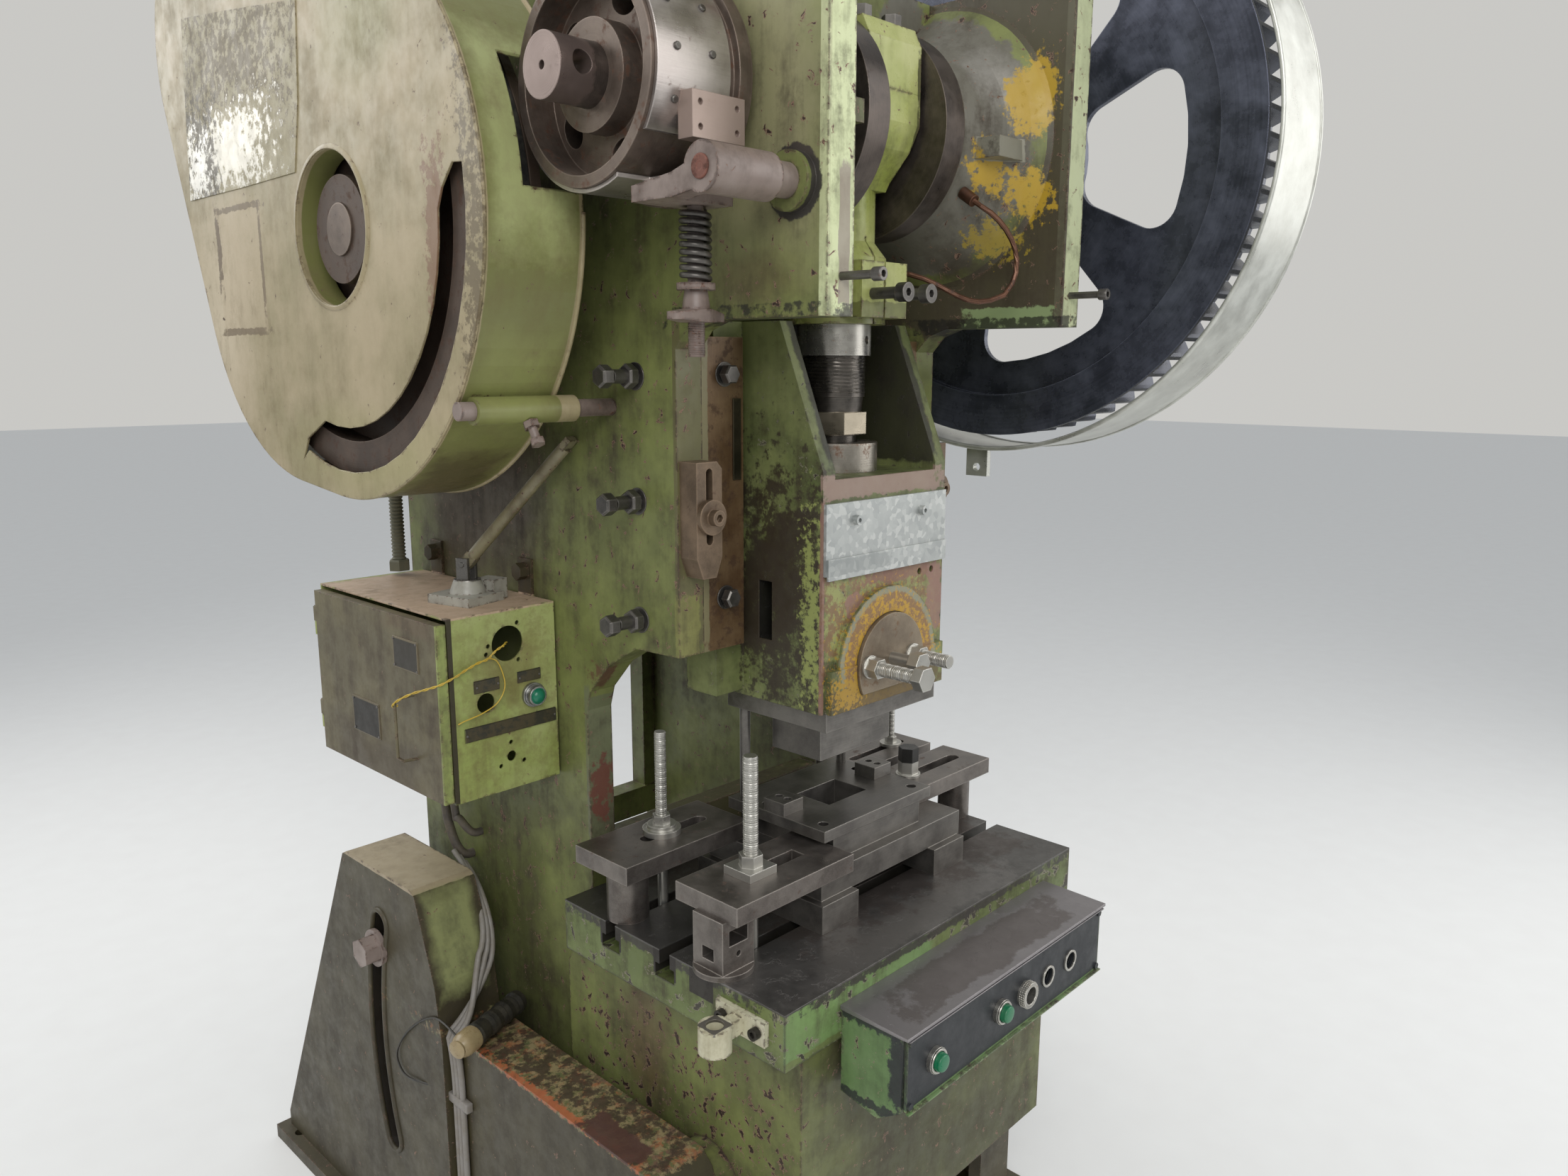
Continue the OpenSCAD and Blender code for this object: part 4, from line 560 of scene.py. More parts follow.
# Enamel on thin rolled sheet: smooth beige, its tint warmed as painted warm light, dusty and worn along its
# rim
GUARD_ENAMEL = WornEnamel("beige enamel on sheet steel, warmed with painted light", coat="#8f8462", faded="#a8997a",
                          grime="#6a5a3e", soiled=0.42, chipped=0.69, edge_wear=0.13, bare="#4d3a2c",
                          primer="#7d6a50", gloss=0.38, rounding=2.0, patches=(
    Patch((-447, 760, 1780), (67, 900, 900), "#6f7140", BLOCK, PAINT, 0.05, 0.95),
    # painted light and shade on the guard's rim: lighter at its front, darker along its underside
    Patch((-447, 330, 1900), (68, 70, 190), "#a3a873", BLOCK, PAINT, 0.5, 0.85, soft=0.3),
    Patch((-447, 400, 1560), (68, 70, 90), "#868a52", BLOCK, PAINT, 0.8, 0.7, grit=70, soft=0.4),
    Patch((-447, 700, 1430), (68, 330, 60), "#4c4529", BLOCK, PAINT, 0.8, 0.85, soft=0.3),
    Patch((-521, 600, 2050), (4, 170, 130), "#8b8a5a", BALL, PAINT, 0.6, 0.6, grit=160, soft=0.8),
    Patch((-521, 640, 1470), (4, 320, 90), "#95915f", BALL, PAINT, 0.8, 0.65, grit=120, soft=0.8),
    Patch((-521, 1120, 1680), (4, 150, 240), "#c9baa0", BALL, PAINT, 0.8, 0.85, grit=120, soft=0.8),
    Patch((-521, 1036, 1742), (4, 86, 96), "#b3a386", BLOCK, PAINT, 0.04, 0.55),
    Patch((-521, 1036, 1839), (4, 88, 5), "#6a5a42", BLOCK, BARE, 2.6, 0.85, grit=18),
    Patch((-521, 1036, 1648), (4, 88, 6), "#6a5a42", BLOCK, BARE, 2.2, 0.85, grit=18),
    Patch((-521, 1116, 1780), (4, 9, 64), "#5d4c38", BLOCK, BARE, 2.4, 0.85, grit=20),
    Patch((-521, 955, 1760), (4, 5, 84), "#6a5a42", BLOCK, BARE, 2.6, 0.85, grit=16),
    Patch((-521, 440, 1750), (4, 24, 110), "#7a5a44", BLOCK, BARE, 3.2, 0.8, grit=14),
    Patch((-521, 350, 1700), (4, 30, 260), "#5d5038", BLOCK, BARE, 7.0, 0.8, grit=12),
))
# Zinc-bright steel under the last scraps of enamel: mottled, with mirror-like flecks
PATCH_SHEET = WornEnamel("mottled scraps of enamel on a steel repair sheet", coat="#938a6a", faded="#a79d80",
                         grime="#5f543e", primer="#aea68e", bare="#6b604c", soiled=0.45, chipped=0.62,
                         edge_wear=0.05, chip_size=12, gloss=0.46, rounding=0.6, patches=(
    Patch((-522, 1000, 2060), (5, 200, 90), "#5f5238", BLOCK, BARE, 9.0, 0.8, grit=13),
    Patch((-522, 1060, 1925), (5, 160, 60), "#cfccc2", BLOCK, BARE, 4.2, 0.9, metal=0.85, grit=13),
    Patch((-522, 1150, 1930), (5, 60, 90), "#4b4436", BLOCK, BARE, 5.0, 0.85, metal=0.3, grit=15),
    Patch((-522, 1170, 1910), (5, 46, 50), "#dbd9d2", BLOCK, BARE, 6.0, 0.9, metal=0.85, grit=10),
))
# Enamel wiped round the ring, drawn pale and silvery, its brightness partly painted light: a pale metallic
# sheen with faint turning marks
RING_STEEL = WorkedSteel("brushed silver enamel on the gear guard", dark="#a5a59c", bright="#cfd0c9",
                         rust="#8c8a72", rusted=0.68, lathe_at=(463, 235, 1924), mark=2.0, metallic=0.6,
                         gloss=0.32, shine=0.7)
# Cast iron under blue-black gear oil: dark, its cold soft highlights painted in as paler blue-grey tones
GEAR_STEEL = WorkedSteel("blue-black oiled gear iron", dark="#2a2d35", bright="#6c7080", rust="#2b241f",
                         rusted=0.66, lathe_at=(463, 235, 1924), mark=3.0, metallic=0.55, gloss=0.26,
                         shine=0.45)
# Enamel on folded sheet: even and clean at the front, dusty brown on the roof
CABINET_ENAMEL = WornEnamel("yellow-green enamel on the cabinet", coat="#8c9652", faded="#a2a86e",
                            grime="#5d4f2e", soiled=0.5, chipped=0.69, edge_wear=0.13, chip_size=12,
                            rounding=1.2, patches=(
    Patch((-380, 740, 1242), (98, 200, 4), "#bba08a", BLOCK, PAINT, 0.4, 0.92),
    Patch((-380, 746, 1272), (110, 208, 29), "#3f352a", BLOCK, PAINT, 0.05, 0.95, metal=0.3),
    Patch((-412, 548, 1132), (22, 4, 10), "#35342f", BLOCK, BARE, 0.03, 0.97, metal=0.3),
    Patch((-338, 548, 1133), (21, 4, 9), "#35342f", BLOCK, BARE, 0.03, 0.97, metal=0.3),
    Patch((-372, 548, 1062), (81, 4, 11), "#302d28", BLOCK, BARE, 0.03, 0.97, metal=0.2),
    Patch((-372, 549, 1145), (70, 5, 60), "#6f6434", BLOCK, PAINT, 1.4, 0.5, grit=30, soft=0.4),
    Patch((-380, 549, 1101), (93, 5, 140), "#6a5a34", BLOCK, BARE, 9.0, 0.28, grit=16, soft=0.3),
    Patch((-470, 552, 1101), (5, 10, 142), "#2c2418", BLOCK, BARE, 0.1, 0.95),
))
# The same enamel handled for years: brown and dull, its green left only at the fold
DOOR_ENAMEL = WornEnamel("browned enamel on the cabinet door", coat="#5d5640", faded="#6f674b",
                         grime="#42372a", soiled=0.7, chipped=0.70, chip_size=12, rounding=1.2, patches=(
    Patch((-480, 551, 1101), (9, 6, 142), "#8d9856", BLOCK, PAINT, 0.1, 0.95),
    Patch((-489, 642, 1176), (4, 37, 25), "#756b55", BLOCK, BARE, 0.03, 0.97, metal=0.4),
    Patch((-489, 642, 1176), (4, 34, 22), "#3a3731", BLOCK, BARE, 0.03, 0.97, metal=0.3),
    Patch((-489, 779, 1050), (4, 44, 30), "#6b624f", BLOCK, BARE, 0.03, 0.97, metal=0.4),
    Patch((-489, 779, 1050), (4, 41, 27), "#2e2c29", BLOCK, BARE, 0.03, 0.97, metal=0.3),
    Patch((-489, 640, 1225), (4, 100, 20), "#5f4d3a", BLOCK, PAINT, 1.6, 0.5, grit=40, soft=0.4),
    Patch((-489, 740, 990), (4, 200, 60), "#463c2e", BLOCK, PAINT, 1.0, 0.7, grit=70, soft=0.6),
))
# Enamel on a handled box: chipped at the corners, black panel in front, steel lid bare
BOX_ENAMEL = WornEnamel("chipped enamel on the control box", coat="#5d7848", faded="#71895c", grime="#33302a",
                        bare="#25272a", primer="#9a8c74", soiled=0.4, chipped=0.63, chip_size=18, patches=(
    Patch((-241, -96, 712), (4, 16, 56), "#202225", BLOCK, BARE, 2.4, 0.95, grit=20),
    Patch((-241, -50, 760), (4, 60, 8), "#202225", BLOCK, BARE, 3.0, 0.9, grit=16),
    Patch((-241, -50, 645), (4, 60, 8), "#202225", BLOCK, BARE, 3.4, 0.9, grit=16),
    Patch((12, -107, 711), (251, 8, 51), "#1f2226", BLOCK, BARE, 0.02, 1.0),
    Patch((12, -50, 768), (262, 72, 8), STEEL_TOP, BLOCK, BARE, 0.02, 1.0, metal=0.8),
    Patch((12, -60, 768), (200, 40, 8), "#5b524c", BLOCK, BARE, 1.3, 0.6, metal=0.7, grit=60),
))
# Cream enamel of a later repair: pale and little worn, with a bare screw face
BRACKET_ENAMEL = WornEnamel("cream enamel on the ring bracket", coat="#bdb89c", faded="#cdc9b2",
                            grime="#77694a", soiled=0.5, chipped=0.68, chip_size=7, patches=(
    Patch((-397, 78, 776), (17, 17, 4), "#77736c", BLOCK, BARE, 0.4, 0.95, metal=0.8),
    Patch((-363, 42, 763), (5, 9, 9), "#33302d", BLOCK, BARE, 0.02, 0.97, metal=0.7),
    Patch((-363, 104, 763), (5, 9, 9), "#33302d", BLOCK, BARE, 0.02, 0.97, metal=0.7),
))
# Enamel on the sides of a machined plate: the top is bare grey steel from sliding dies
BOLSTER_FACE = WornEnamel("enamel on the bolster's sides, bare worn top", coat="#5a6635", faded="#6f7a48",
                          grime="#3b3324", bare="#33302c", primer="#8b8570", soiled=0.8, chipped=0.60,
                          chip_size=26, edge_wear=0.2, patches=(
    Patch((-351, 260, 792), (4, 220, 8), "#322e29", BLOCK, BARE, 3.4, 0.92, grit=18),
    Patch((0, -1, 792), (352, 4, 7), "#322e29", BLOCK, BARE, 3.4, 0.92, grit=22),
    Patch((-200, -1, 770), (160, 4, 40), "#6f8a54", BLOCK, PAINT, 0.3, 0.9),
    Patch((0, 230, 800), (420, 300, 2.5), "#62605d", BLOCK, BARE, 0.02, 1.0, metal=0.8),
    Patch((-60, 60, 800), (300, 60, 3), "#7d7a77", BLOCK, BARE, 1.4, 0.7, metal=0.85, grit=70),
    Patch((60, 260, 800), (280, 200, 3), "#4b403a", BLOCK, BARE, 1.6, 0.6, metal=0.6, grit=50),
    Patch((0, 155, 780), (420, 24, 18.5), "#34302d", BLOCK, BARE, 0.02, 0.97, metal=0.5),
    Patch((0, 230, 780), (420, 24, 18.5), "#34302d", BLOCK, BARE, 0.02, 0.97, metal=0.5),
    Patch((0, 350, 780), (420, 24, 18.5), "#34302d", BLOCK, BARE, 0.02, 0.97, metal=0.5),
))
# Enamel over cooling fins: grey-green and evenly dusty
MOTOR_ENAMEL = WornEnamel("grey-green enamel on the motor", coat="#56603f", faded="#6a7150", soiled=0.7)
# Enamel worn off forged iron: brown and satin from hands and oil
LEVER_IRON = WornEnamel("rust-brown iron of the brake lever", coat="#6c5c54", faded="#8a7c74",
                        grime="#33281f", primer="#7a5340", soiled=0.6, chipped=0.67, gloss=0.4)

# Surface-ground tool steel: fine straight marks under a film of oil
DIE_STEEL = WorkedSteel("ground tool steel under oil", dark="#55524f", bright="#918d87", grain=Grain.ALONG_X,
                        rusted=0.66)
# Forge-black clamp steel: scaly dark grey with rubbed lighter edges
STRAP_STEEL = WorkedSteel("black forged clamp steel", dark="#48423e", bright="#9a938c", rust="#563f31",
                          rusted=0.60, metallic=0.75, gloss=0.34, shine=0.4)
# Zinc-plated studding: pale grey, its threads dulled by fingers
STUD_STEEL = WorkedSteel("zinc-plated studding", dark="#a3a19b", bright="#c9c7c0", rusted=0.8, mark=0.9,
                         gloss=0.3, shine=0.2, patches=(
    Patch((200, 230, 968), (24, 24, 32), "#2b2a29", BLOCK, PAINT, 0.02, 0.97, metal=0.6),
))
# Lathe-turned steel: pale, with rings of fine marks
BRIGHT_STEEL = WorkedSteel("turned bright steel", dark="#7c7973", bright="#c2bfb7", rust="#7a5a3c",
                           lathe_at=(0, 235, 1640), lathe_axis=(0.0, 0.0, 1.0), gloss=0.24)
# The same steel on small button rings, without the lathe centre
RING_BRIGHT = WorkedSteel("turned bright button rings", dark="#7c7973", bright="#c9c6be", rust="#7a5a3c",
                          gloss=0.24)
# Turned screw in grease: nearly black, with one rubbed pale band
SCREW_STEEL = WorkedSteel("greasy screw steel", dark="#2c2a28", bright="#77716a", rusted=0.7, gloss=0.26,
                          lathe_at=(0, 235, 1640), lathe_axis=(0.0, 0.0, 1.0), patches=(
    Patch((0, 235, 1515), (90, 90, 17), "#968d7c", BLOCK, PAINT, 0.1, 0.9, metal=0.95),
))
# Turned steel gone dull: pale with rust blooms
CAP_RING = WorkedSteel("worn ball cap steel", dark="#7d776d", bright="#b1aba0", rust="#6b4328", rusted=0.54,
                       lathe_at=(0, 235, 1466), lathe_axis=(0.0, 0.0, 1.0), gloss=0.3)
# Forged steel flung with oil: brown-black, wet highlights
CRANK_STEEL = WorkedSteel("oily forged crank steel", dark="#2b2624", bright="#6f655e", rust="#3f2d24",
                          rusted=0.62, lathe_at=(0, 235, 1924), metallic=0.7, gloss=0.3, patches=(
    Patch((-480, 235, 1924), (60, 42, 42), "#7d6d66", BALL, PAINT, 0.3, 0.8, metal=0.6),
))
# The same steel, further from the oil: browner and drier
SHAFT_STEEL = WorkedSteel("oily shaft steel", dark="#4b4039", bright="#85776b", rust="#4c3426", rusted=0.6,
                          lathe_at=(0, 719.2, 1784.2), metallic=0.7, gloss=0.32)
# Turned cast iron in use as a brake: brown-grey with ring marks
DRUM_IRON = WorkedSteel("turned cast iron drum", dark="#4f443c", bright="#897b70", rust="#5f3d2a",
                        rusted=0.55, lathe_at=(-400, 235, 1924), metallic=0.6, gloss=0.38)
# Rolled strip rubbed along its length: pale straight streaks
BAND_STEEL = WorkedSteel("brake band steel", dark="#968e8a", bright="#cbc4bf", grain=Grain.ALONG_X,
                         gloss=0.32, patches=(
    Patch((-364, 104, 1869), (42, 14, 27), "#9b877c", BLOCK, PAINT, 0.05, 0.92, metal=0.3),
))
# Planed cast iron soaked with old oil: brown, marks along the travel
GIB_IRON = WorkedSteel("brown oily gib iron", dark="#4b3420", bright="#7a6446", rust="#3d2816", rusted=0.52,
                       grain=Grain.ALONG_Z, metallic=0.35, gloss=0.4, patches=(
    Patch((-239, 262, 1420), (12, 30, 240), "#767152", BLOCK, PAINT, 0.8, 0.85),
))
# Flame-cut strap rubbed by hands: satin brown
STOP_STEEL = WorkedSteel("stop strap, rubbed brown steel", dark="#4b3e30", bright="#8a7560", rust="#4f3a2c",
                         rusted=0.58, metallic=0.45, gloss=0.4)
# Oil-blackened screws: dark, bright only at their edges
BOLT_STEEL = WorkedSteel("blackened bolt steel", dark="#3a3836", bright="#7a7671", rust="#5a4232", rusted=0.6,
                         metallic=0.75, gloss=0.32)
# Rubbed cast iron cap: warm brown, softly bright
CAP_STEEL = WorkedSteel("rubbed brown cap iron", dark="#5f5244", bright="#938672", rust="#6a4a2c",
                        rusted=0.57, metallic=0.45, gloss=0.4)
# Unpainted cast iron in belt dust: matt and rusty
FLYWHEEL_IRON = WorkedSteel("rusty flywheel iron", dark="#3f332b", bright="#66574c", rust="#4c3426",
                            rusted=0.54, lathe_at=(-450, 719.2, 1784.2), metallic=0.4, gloss=0.5)
# Bearing bronze in oil: dark gold, brightest at the edges
BRONZE = WorkedSteel("oily bearing bronze", dark="#5d4322", bright="#a27c42", rust="#3c2c18", rusted=0.6)
# Copper pipe gone brown-black: orange only where rubbed
COPPER = WorkedSteel("blackened copper pipe", dark="#3d2f2a", bright="#7d5a48", rust="#2f2622", rusted=0.56,
                     gloss=0.36)
# Blued strip under grime: almost black
SCALE_STEEL = WorkedSteel("blackened scale strip", dark="#26241f", bright="#57503f", rusted=0.66)
# Hot-dip zinc: pale crystals of several greys
ZINC = ZincSheet("galvanised sheet", patches=(
    Patch((-70, 120, 1324), (80, 12, 12), "#868a88", BLOCK, PAINT, 1.2, 0.5),
))
# Cast aluminium under dirt: dull grey with chips
LAMP_METAL = WornEnamel("dirty aluminium lamp fitting", coat="#8f8c82", faded="#aaa79b", grime="#55493a",
                        soiled=0.6, chipped=0.69, chip_size=8, gloss=0.34, patches=(
    Patch((-378, 645, 1290), (26, 26, 26), "#6a6763", BALL, BARE, 0.4, 0.9, metal=0.8),
))
# Enamel rubbed off a thin tube: patchy brown-green
ARM_ENAMEL = WornEnamel("rubbed olive enamel on the lamp arm", coat="#736b4f", faded="#8d856a",
                        grime="#493c2a", soiled=0.7, chipped=0.64, chip_size=8, gloss=0.34)
# Moulded button in daily use: clean saturated green with a sharp highlight
GREEN_KEY = Moulded("green moulded button cap", body="#0c6a45", dusty=0.12, gloss=0.22)
# Chrome bezel: mirror-bright round a deep green lens
PILOT_CHROME = WorkedSteel("chromed bezel round a green lens", dark="#6a6a68", bright="#b5b5b1", rusted=0.7,
                           gloss=0.2, patches=(
    Patch((-333, 532, 1102), (13, 14, 13), "#0f6a4e", BALL, PAINT, 0.02, 1.0, metal=0.0),
))
# Rubber belt: matt black with grey dust
BELT_RUBBER = Moulded("rubber V-belt", body="#242322", dusty=0.35, gloss=0.6, pebble=2.0)
# Extruded jacket: matt, dusty grey-brown
CABLE_JACKET = Moulded("grey-brown cable jacket", body="#57504a", dust="#8c7f66", dusty=0.5, gloss=0.5)
# Extruded insulation: plain grey, dusty
GREY_WIRE = Moulded("grey wire insulation", body="#85807a", dust="#6c5f48", dusty=0.5, gloss=0.45)
# Wound tape: black with a greasy satin sheen
BLACK_TAPE = Moulded("black insulating tape", body="#262421", dust="#57503f", dusty=0.4, gloss=0.35)
# Extruded insulation: yellow, soiled brown
YELLOW_WIRE = Moulded("yellow wire insulation", body="#c0a23a", dust="#8b7a4b", dusty=0.4, gloss=0.4)
# Ribbed plastic: faded grey-green, dusty between its ribs
CONDUIT_PLASTIC = Moulded("ribbed conduit plastic", body="#6b6a58", dust="#8c8468", dusty=0.45, gloss=0.5)
# Aged clear tape: amber and glossy
CLEAR_TAPE = Moulded("yellowed clear tape", body="#8f7d5c", dust="#b3a27c", dusty=0.5, gloss=0.2)
# Rusted pin end: red-brown and dry
PIN_IRON = WorkedSteel("rusted end of the lever's pin", dark="#55352b", bright="#86584b", rust="#4a2c22",
                       rusted=0.52, metallic=0.3, gloss=0.5)

CAD_FINISHES: dict[str, Finish] = {name: finish for finish, names in (
    (LEG_ENAMEL, "left_leg right_leg tie_bars"),
    (BOLT_STEEL, "pivot_pins gib_bolts clamp_screws brake_spring"),
    (LEVER_IRON, "lock_bolts brake_lever spring_rod guard_rods"), (FRAME_ENAMEL, "frame_casting"),
    (BOLSTER_FACE, "bolster"), (GIB_IRON, "gib_plates gib_liners"), (SCALE_STEEL, "scale_plate"),
    (STOP_STEEL, "stop_straps stop_screws"), (BRONZE, "crank_bushes"), (CRANK_STEEL, "crankshaft"),
    (BRIGHT_STEEL, "crank_plug lock_collar"), (ROD_ENAMEL, "conrod conrod_cap"), (SCREW_STEEL, "ball_screw"),
    (DRUM_IRON, "brake_drum"), (BAND_STEEL, "brake_band"), (GEAR_STEEL, "bull_gear"),
    (RING_STEEL, "gear_guard"), (SHAFT_STEEL, "pinion_shaft"), (FLYWHEEL_IRON, "flywheel motor_pulley"),
    (BELT_RUBBER, "belts"), (GUARD_ENAMEL, "belt_guard"), (MOTOR_ENAMEL, "motor"), (SLIDE_ENAMEL, "slide"),
    (CAP_RING, "ball_cap"), (ZINC, "cover_plate"), (CAP_STEEL, "shank_cap"),
    (STUD_STEEL, "cap_studs strap_studs"), (DIE_STEEL, "upper_die lower_die locators"),
    (STRAP_STEEL, "straps heels"), (BRACKET_ENAMEL, "ring_bracket"), (CABINET_ENAMEL, "cabinet_body"),
    (DOOR_ENAMEL, "cabinet_door"), (PILOT_CHROME, "pilot_lamp"), (LAMP_METAL, "lamp_base"),
    (ARM_ENAMEL, "lamp_arm"), (CONDUIT_PLASTIC, "conduit"), (CABLE_JACKET, "cables"), (GREY_WIRE, "splice"),
    (BOX_ENAMEL, "control_box"), (GREEN_KEY, "button_left button_mid"), (RING_BRIGHT, "box_rings"),
    (COPPER, "oil_pipe"),
) for name in names.split()}


class FinishShop:
    """Builds each finish once and hands out its material."""

    def __init__(self) -> None:
        """Starts with no material made."""
        self.made: dict[str, bpy.types.Material] = {}

    def get(self, finish: Finish) -> bpy.types.Material:
        """Returns the material of a finish, made on first use."""
        if finish.name not in self.made:
            self.made[finish.name] = finish.build()
        return self.made[finish.name]


SHOP = FinishShop()


def circle(sides: int) -> list[tuple[float, float]]:
    """Returns the cosine and sine of each of the equal steps round a circle."""
    return [(math.cos(2 * math.pi * k / sides), math.sin(2 * math.pi * k / sides)) for k in range(sides)]


class Shape:
    """Collects the surfaces of one piece, in press millimetres."""

    def __init__(self) -> None:
        """Starts with an empty mesh."""
        self.mesh = bmesh.new()

    def bridge(self, low: list[bmesh.types.BMVert], high: list[bmesh.types.BMVert]) -> None:
        """Joins two rings that have as many points with a band of faces."""
        for k in range(len(low)):
            j = (k + 1) % len(low)
            self.mesh.faces.new((low[k], low[j], high[j], high[k]))

    def lathe(self, start: Point, axis: Point, profile: Sequence[tuple[float, float]],
              sides: int = 40) -> Shape:
        """Turns a profile about an axis.

        Args:
            start: the axis's first point.
            axis: the axis's direction.
            profile: pairs of distance along the axis and radius, from one end to the other.
            sides: how many faces go round.

        Returns:
            This shape.
        """
        way = Vector(axis).normalized()
        turn = way.to_track_quat("Z", "Y")
        rings = []
        for along, radius in profile:
            centre = Vector(start) + way * along
            if radius < 1e-6:
                rings.append([self.mesh.verts.new(centre)])
                continue
            rings.append([self.mesh.verts.new(centre + turn @ Vector((radius * c, radius * s, 0)))
                          for c, s in circle(sides)])
        for low, high in zip(rings, rings[1:]):
            for k in range(sides):
                j = (k + 1) % sides
                corners = [low[k % len(low)], low[j % len(low)], high[j % len(high)], high[k % len(high)]]
                corners = [v for i, v in enumerate(corners) if v not in corners[:i]]
                if len(corners) > 2:
                    self.mesh.faces.new(corners)
        for ring, flip in ((rings[0], True), (rings[-1], False)):
            if len(ring) > 2:
                self.mesh.faces.new(ring[::-1] if flip else ring)
        return self

    def ring(self, start: Point, axis: Point, profile: Sequence[tuple[float, float]],
             sides: int = 48) -> Shape:
        """Turns a closed profile that stays clear of the axis.

        Args:
            start: the axis's first point.
            axis: the axis's direction.
            profile: pairs of distance along the axis and radius, going round the section.
            sides: how many faces go round.

        Returns:
            This shape.
        """
        way = Vector(axis).normalized()
        turn = way.to_track_quat("Z", "Y")
        rings = []
        for along, radius in profile:
            centre = Vector(start) + way * along
            rings.append([self.mesh.verts.new(centre + turn @ Vector((radius * c, radius * s, 0)))
                          for c, s in circle(sides)])
        for low, high in zip(rings, rings[1:] + rings[:1]):
            self.bridge(low, high)
        return self

    def tube(self, path: Sequence[Point], radius: float, sides: int = 12, loop: bool = False) -> Shape:
        """Sweeps a circle along a path.

        Args:
            path: the path's points.
            radius: the tube's radius.
            sides: how many faces go round.
            loop: whether the path closes on itself.

        Returns:
            This shape.
        """
        points = [Vector(p) for p in path]
        count = len(points)
        side = None
        rings = []
        for i, point in enumerate(points):
            after = points[(i + 1) % count] if loop or i + 1 < count else point
            before = points[i - 1] if loop or i > 0 else point
            way = (after - before).normalized()
            if side is None:
                side = way.orthogonal().normalized()
            side = (side - way * side.dot(way)).normalized()
            other = way.cross(side)
            rings.append([self.mesh.verts.new(point + radius * (c * side + s * other)) for c,
                          s in circle(sides)])
        for low, high in zip(rings, rings[1:] + (rings[:1] if loop else [])):
            self.bridge(low, high)
        if not loop:
            self.mesh.faces.new(rings[0][::-1])
            self.mesh.faces.new(rings[-1])
        return self

    def block(self, low: Point, high: Point, bevel: float = 1.0, turn: Euler | None = None) -> Shape:
        """Adds a block with rounded edges.

        Args:
            low: its lowest corner.
            high: its highest corner.
            bevel: the edges' radius.
            turn: an optional turn about the block's centre.

        Returns:
            This shape.
        """
        centre = (Vector(low) + Vector(high)) / 2
        size = Vector(high) - Vector(low)
        made = bmesh.ops.create_cube(self.mesh, size=1.0)["verts"]
        bmesh.ops.scale(self.mesh, verts=made, vec=size)
        edges = list({e for v in made for e in v.link_edges})
        cut = bmesh.ops.bevel(self.mesh, geom=edges, offset=bevel, segments=2, affect="EDGES", profile=0.5)
        made = list({v for f in cut["faces"] for v in f.verts} | {v for v in made if v.is_valid})
        if turn is not None:
            bmesh.ops.rotate(self.mesh, verts=made, cent=(0, 0, 0), matrix=turn.to_matrix())
        bmesh.ops.translate(self.mesh, verts=made, vec=centre)
        return self

    def plate(self, corners: Sequence[tuple[float, float]], near: float, far: float) -> Shape:
        """Adds a flat plate that lies across X.

        Args:
            corners: the outline's Y, Z points, going round.
            near: the X of one face.
            far: the X of the other face.

        Returns:
            This shape.
        """
        rings = [[self.mesh.verts.new((x, y, z)) for y, z in corners] for x in (near, far)]
        self.bridge(*rings)
        self.mesh.faces.new(rings[0][::-1])
        self.mesh.faces.new(rings[1])
        return self

    def piece(self, name: str, finish: Finish, body: str, slot: str, smooth: float = 40.0,
              replaces: Sequence[str] = ()) -> bpy.types.Object:
        """Makes the object, in metres, and hands it to the frame.

        Args:
            name: the piece's name.
            finish: what it is finished with.
            body: the CAD body that it rides on.
            slot: not used.
            smooth: the edge angle in degrees below which shading is smooth.
            replaces: the CAD nodes that it stands for.

        Returns:
            The new object.
        """
        bmesh.ops.recalc_face_normals(self.mesh, faces=self.mesh.faces)
        data = bpy.data.meshes.new(name)
        self.mesh.to_mesh(data)
        self.mesh.free()
        data.transform(Matrix.Scale(0.001, 4) @ Matrix.Translation(SHIFT))
        data.shade_smooth()
        data.set_sharp_from_angle(angle=math.radians(smooth))
        return hand_over(bpy.data.objects.new(name, data), finish, body, replaces)


def hand_over(thing: bpy.types.Object, finish: Finish, body: str,
              replaces: Sequence[str] = ()) -> bpy.types.Object:
    """Dresses a piece and hangs it on its body.

    Args:
        thing: the piece.
        finish: what it is finished with.
        body: the CAD body that it rides on.
        replaces: the CAD nodes that it stands for.

    Returns:
        The same piece.
    """
    if thing.name not in bpy.context.scene.collection.objects:
        bpy.context.scene.collection.objects.link(thing)
    thing.data.materials.clear()
    thing.data.materials.append(SHOP.get(finish))
    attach(thing, body)
    if replaces:
        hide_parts(*replaces)
    LOG.info("piece %s: %d faces on body %s", thing.name, len(thing.data.polygons), body)
    return thing


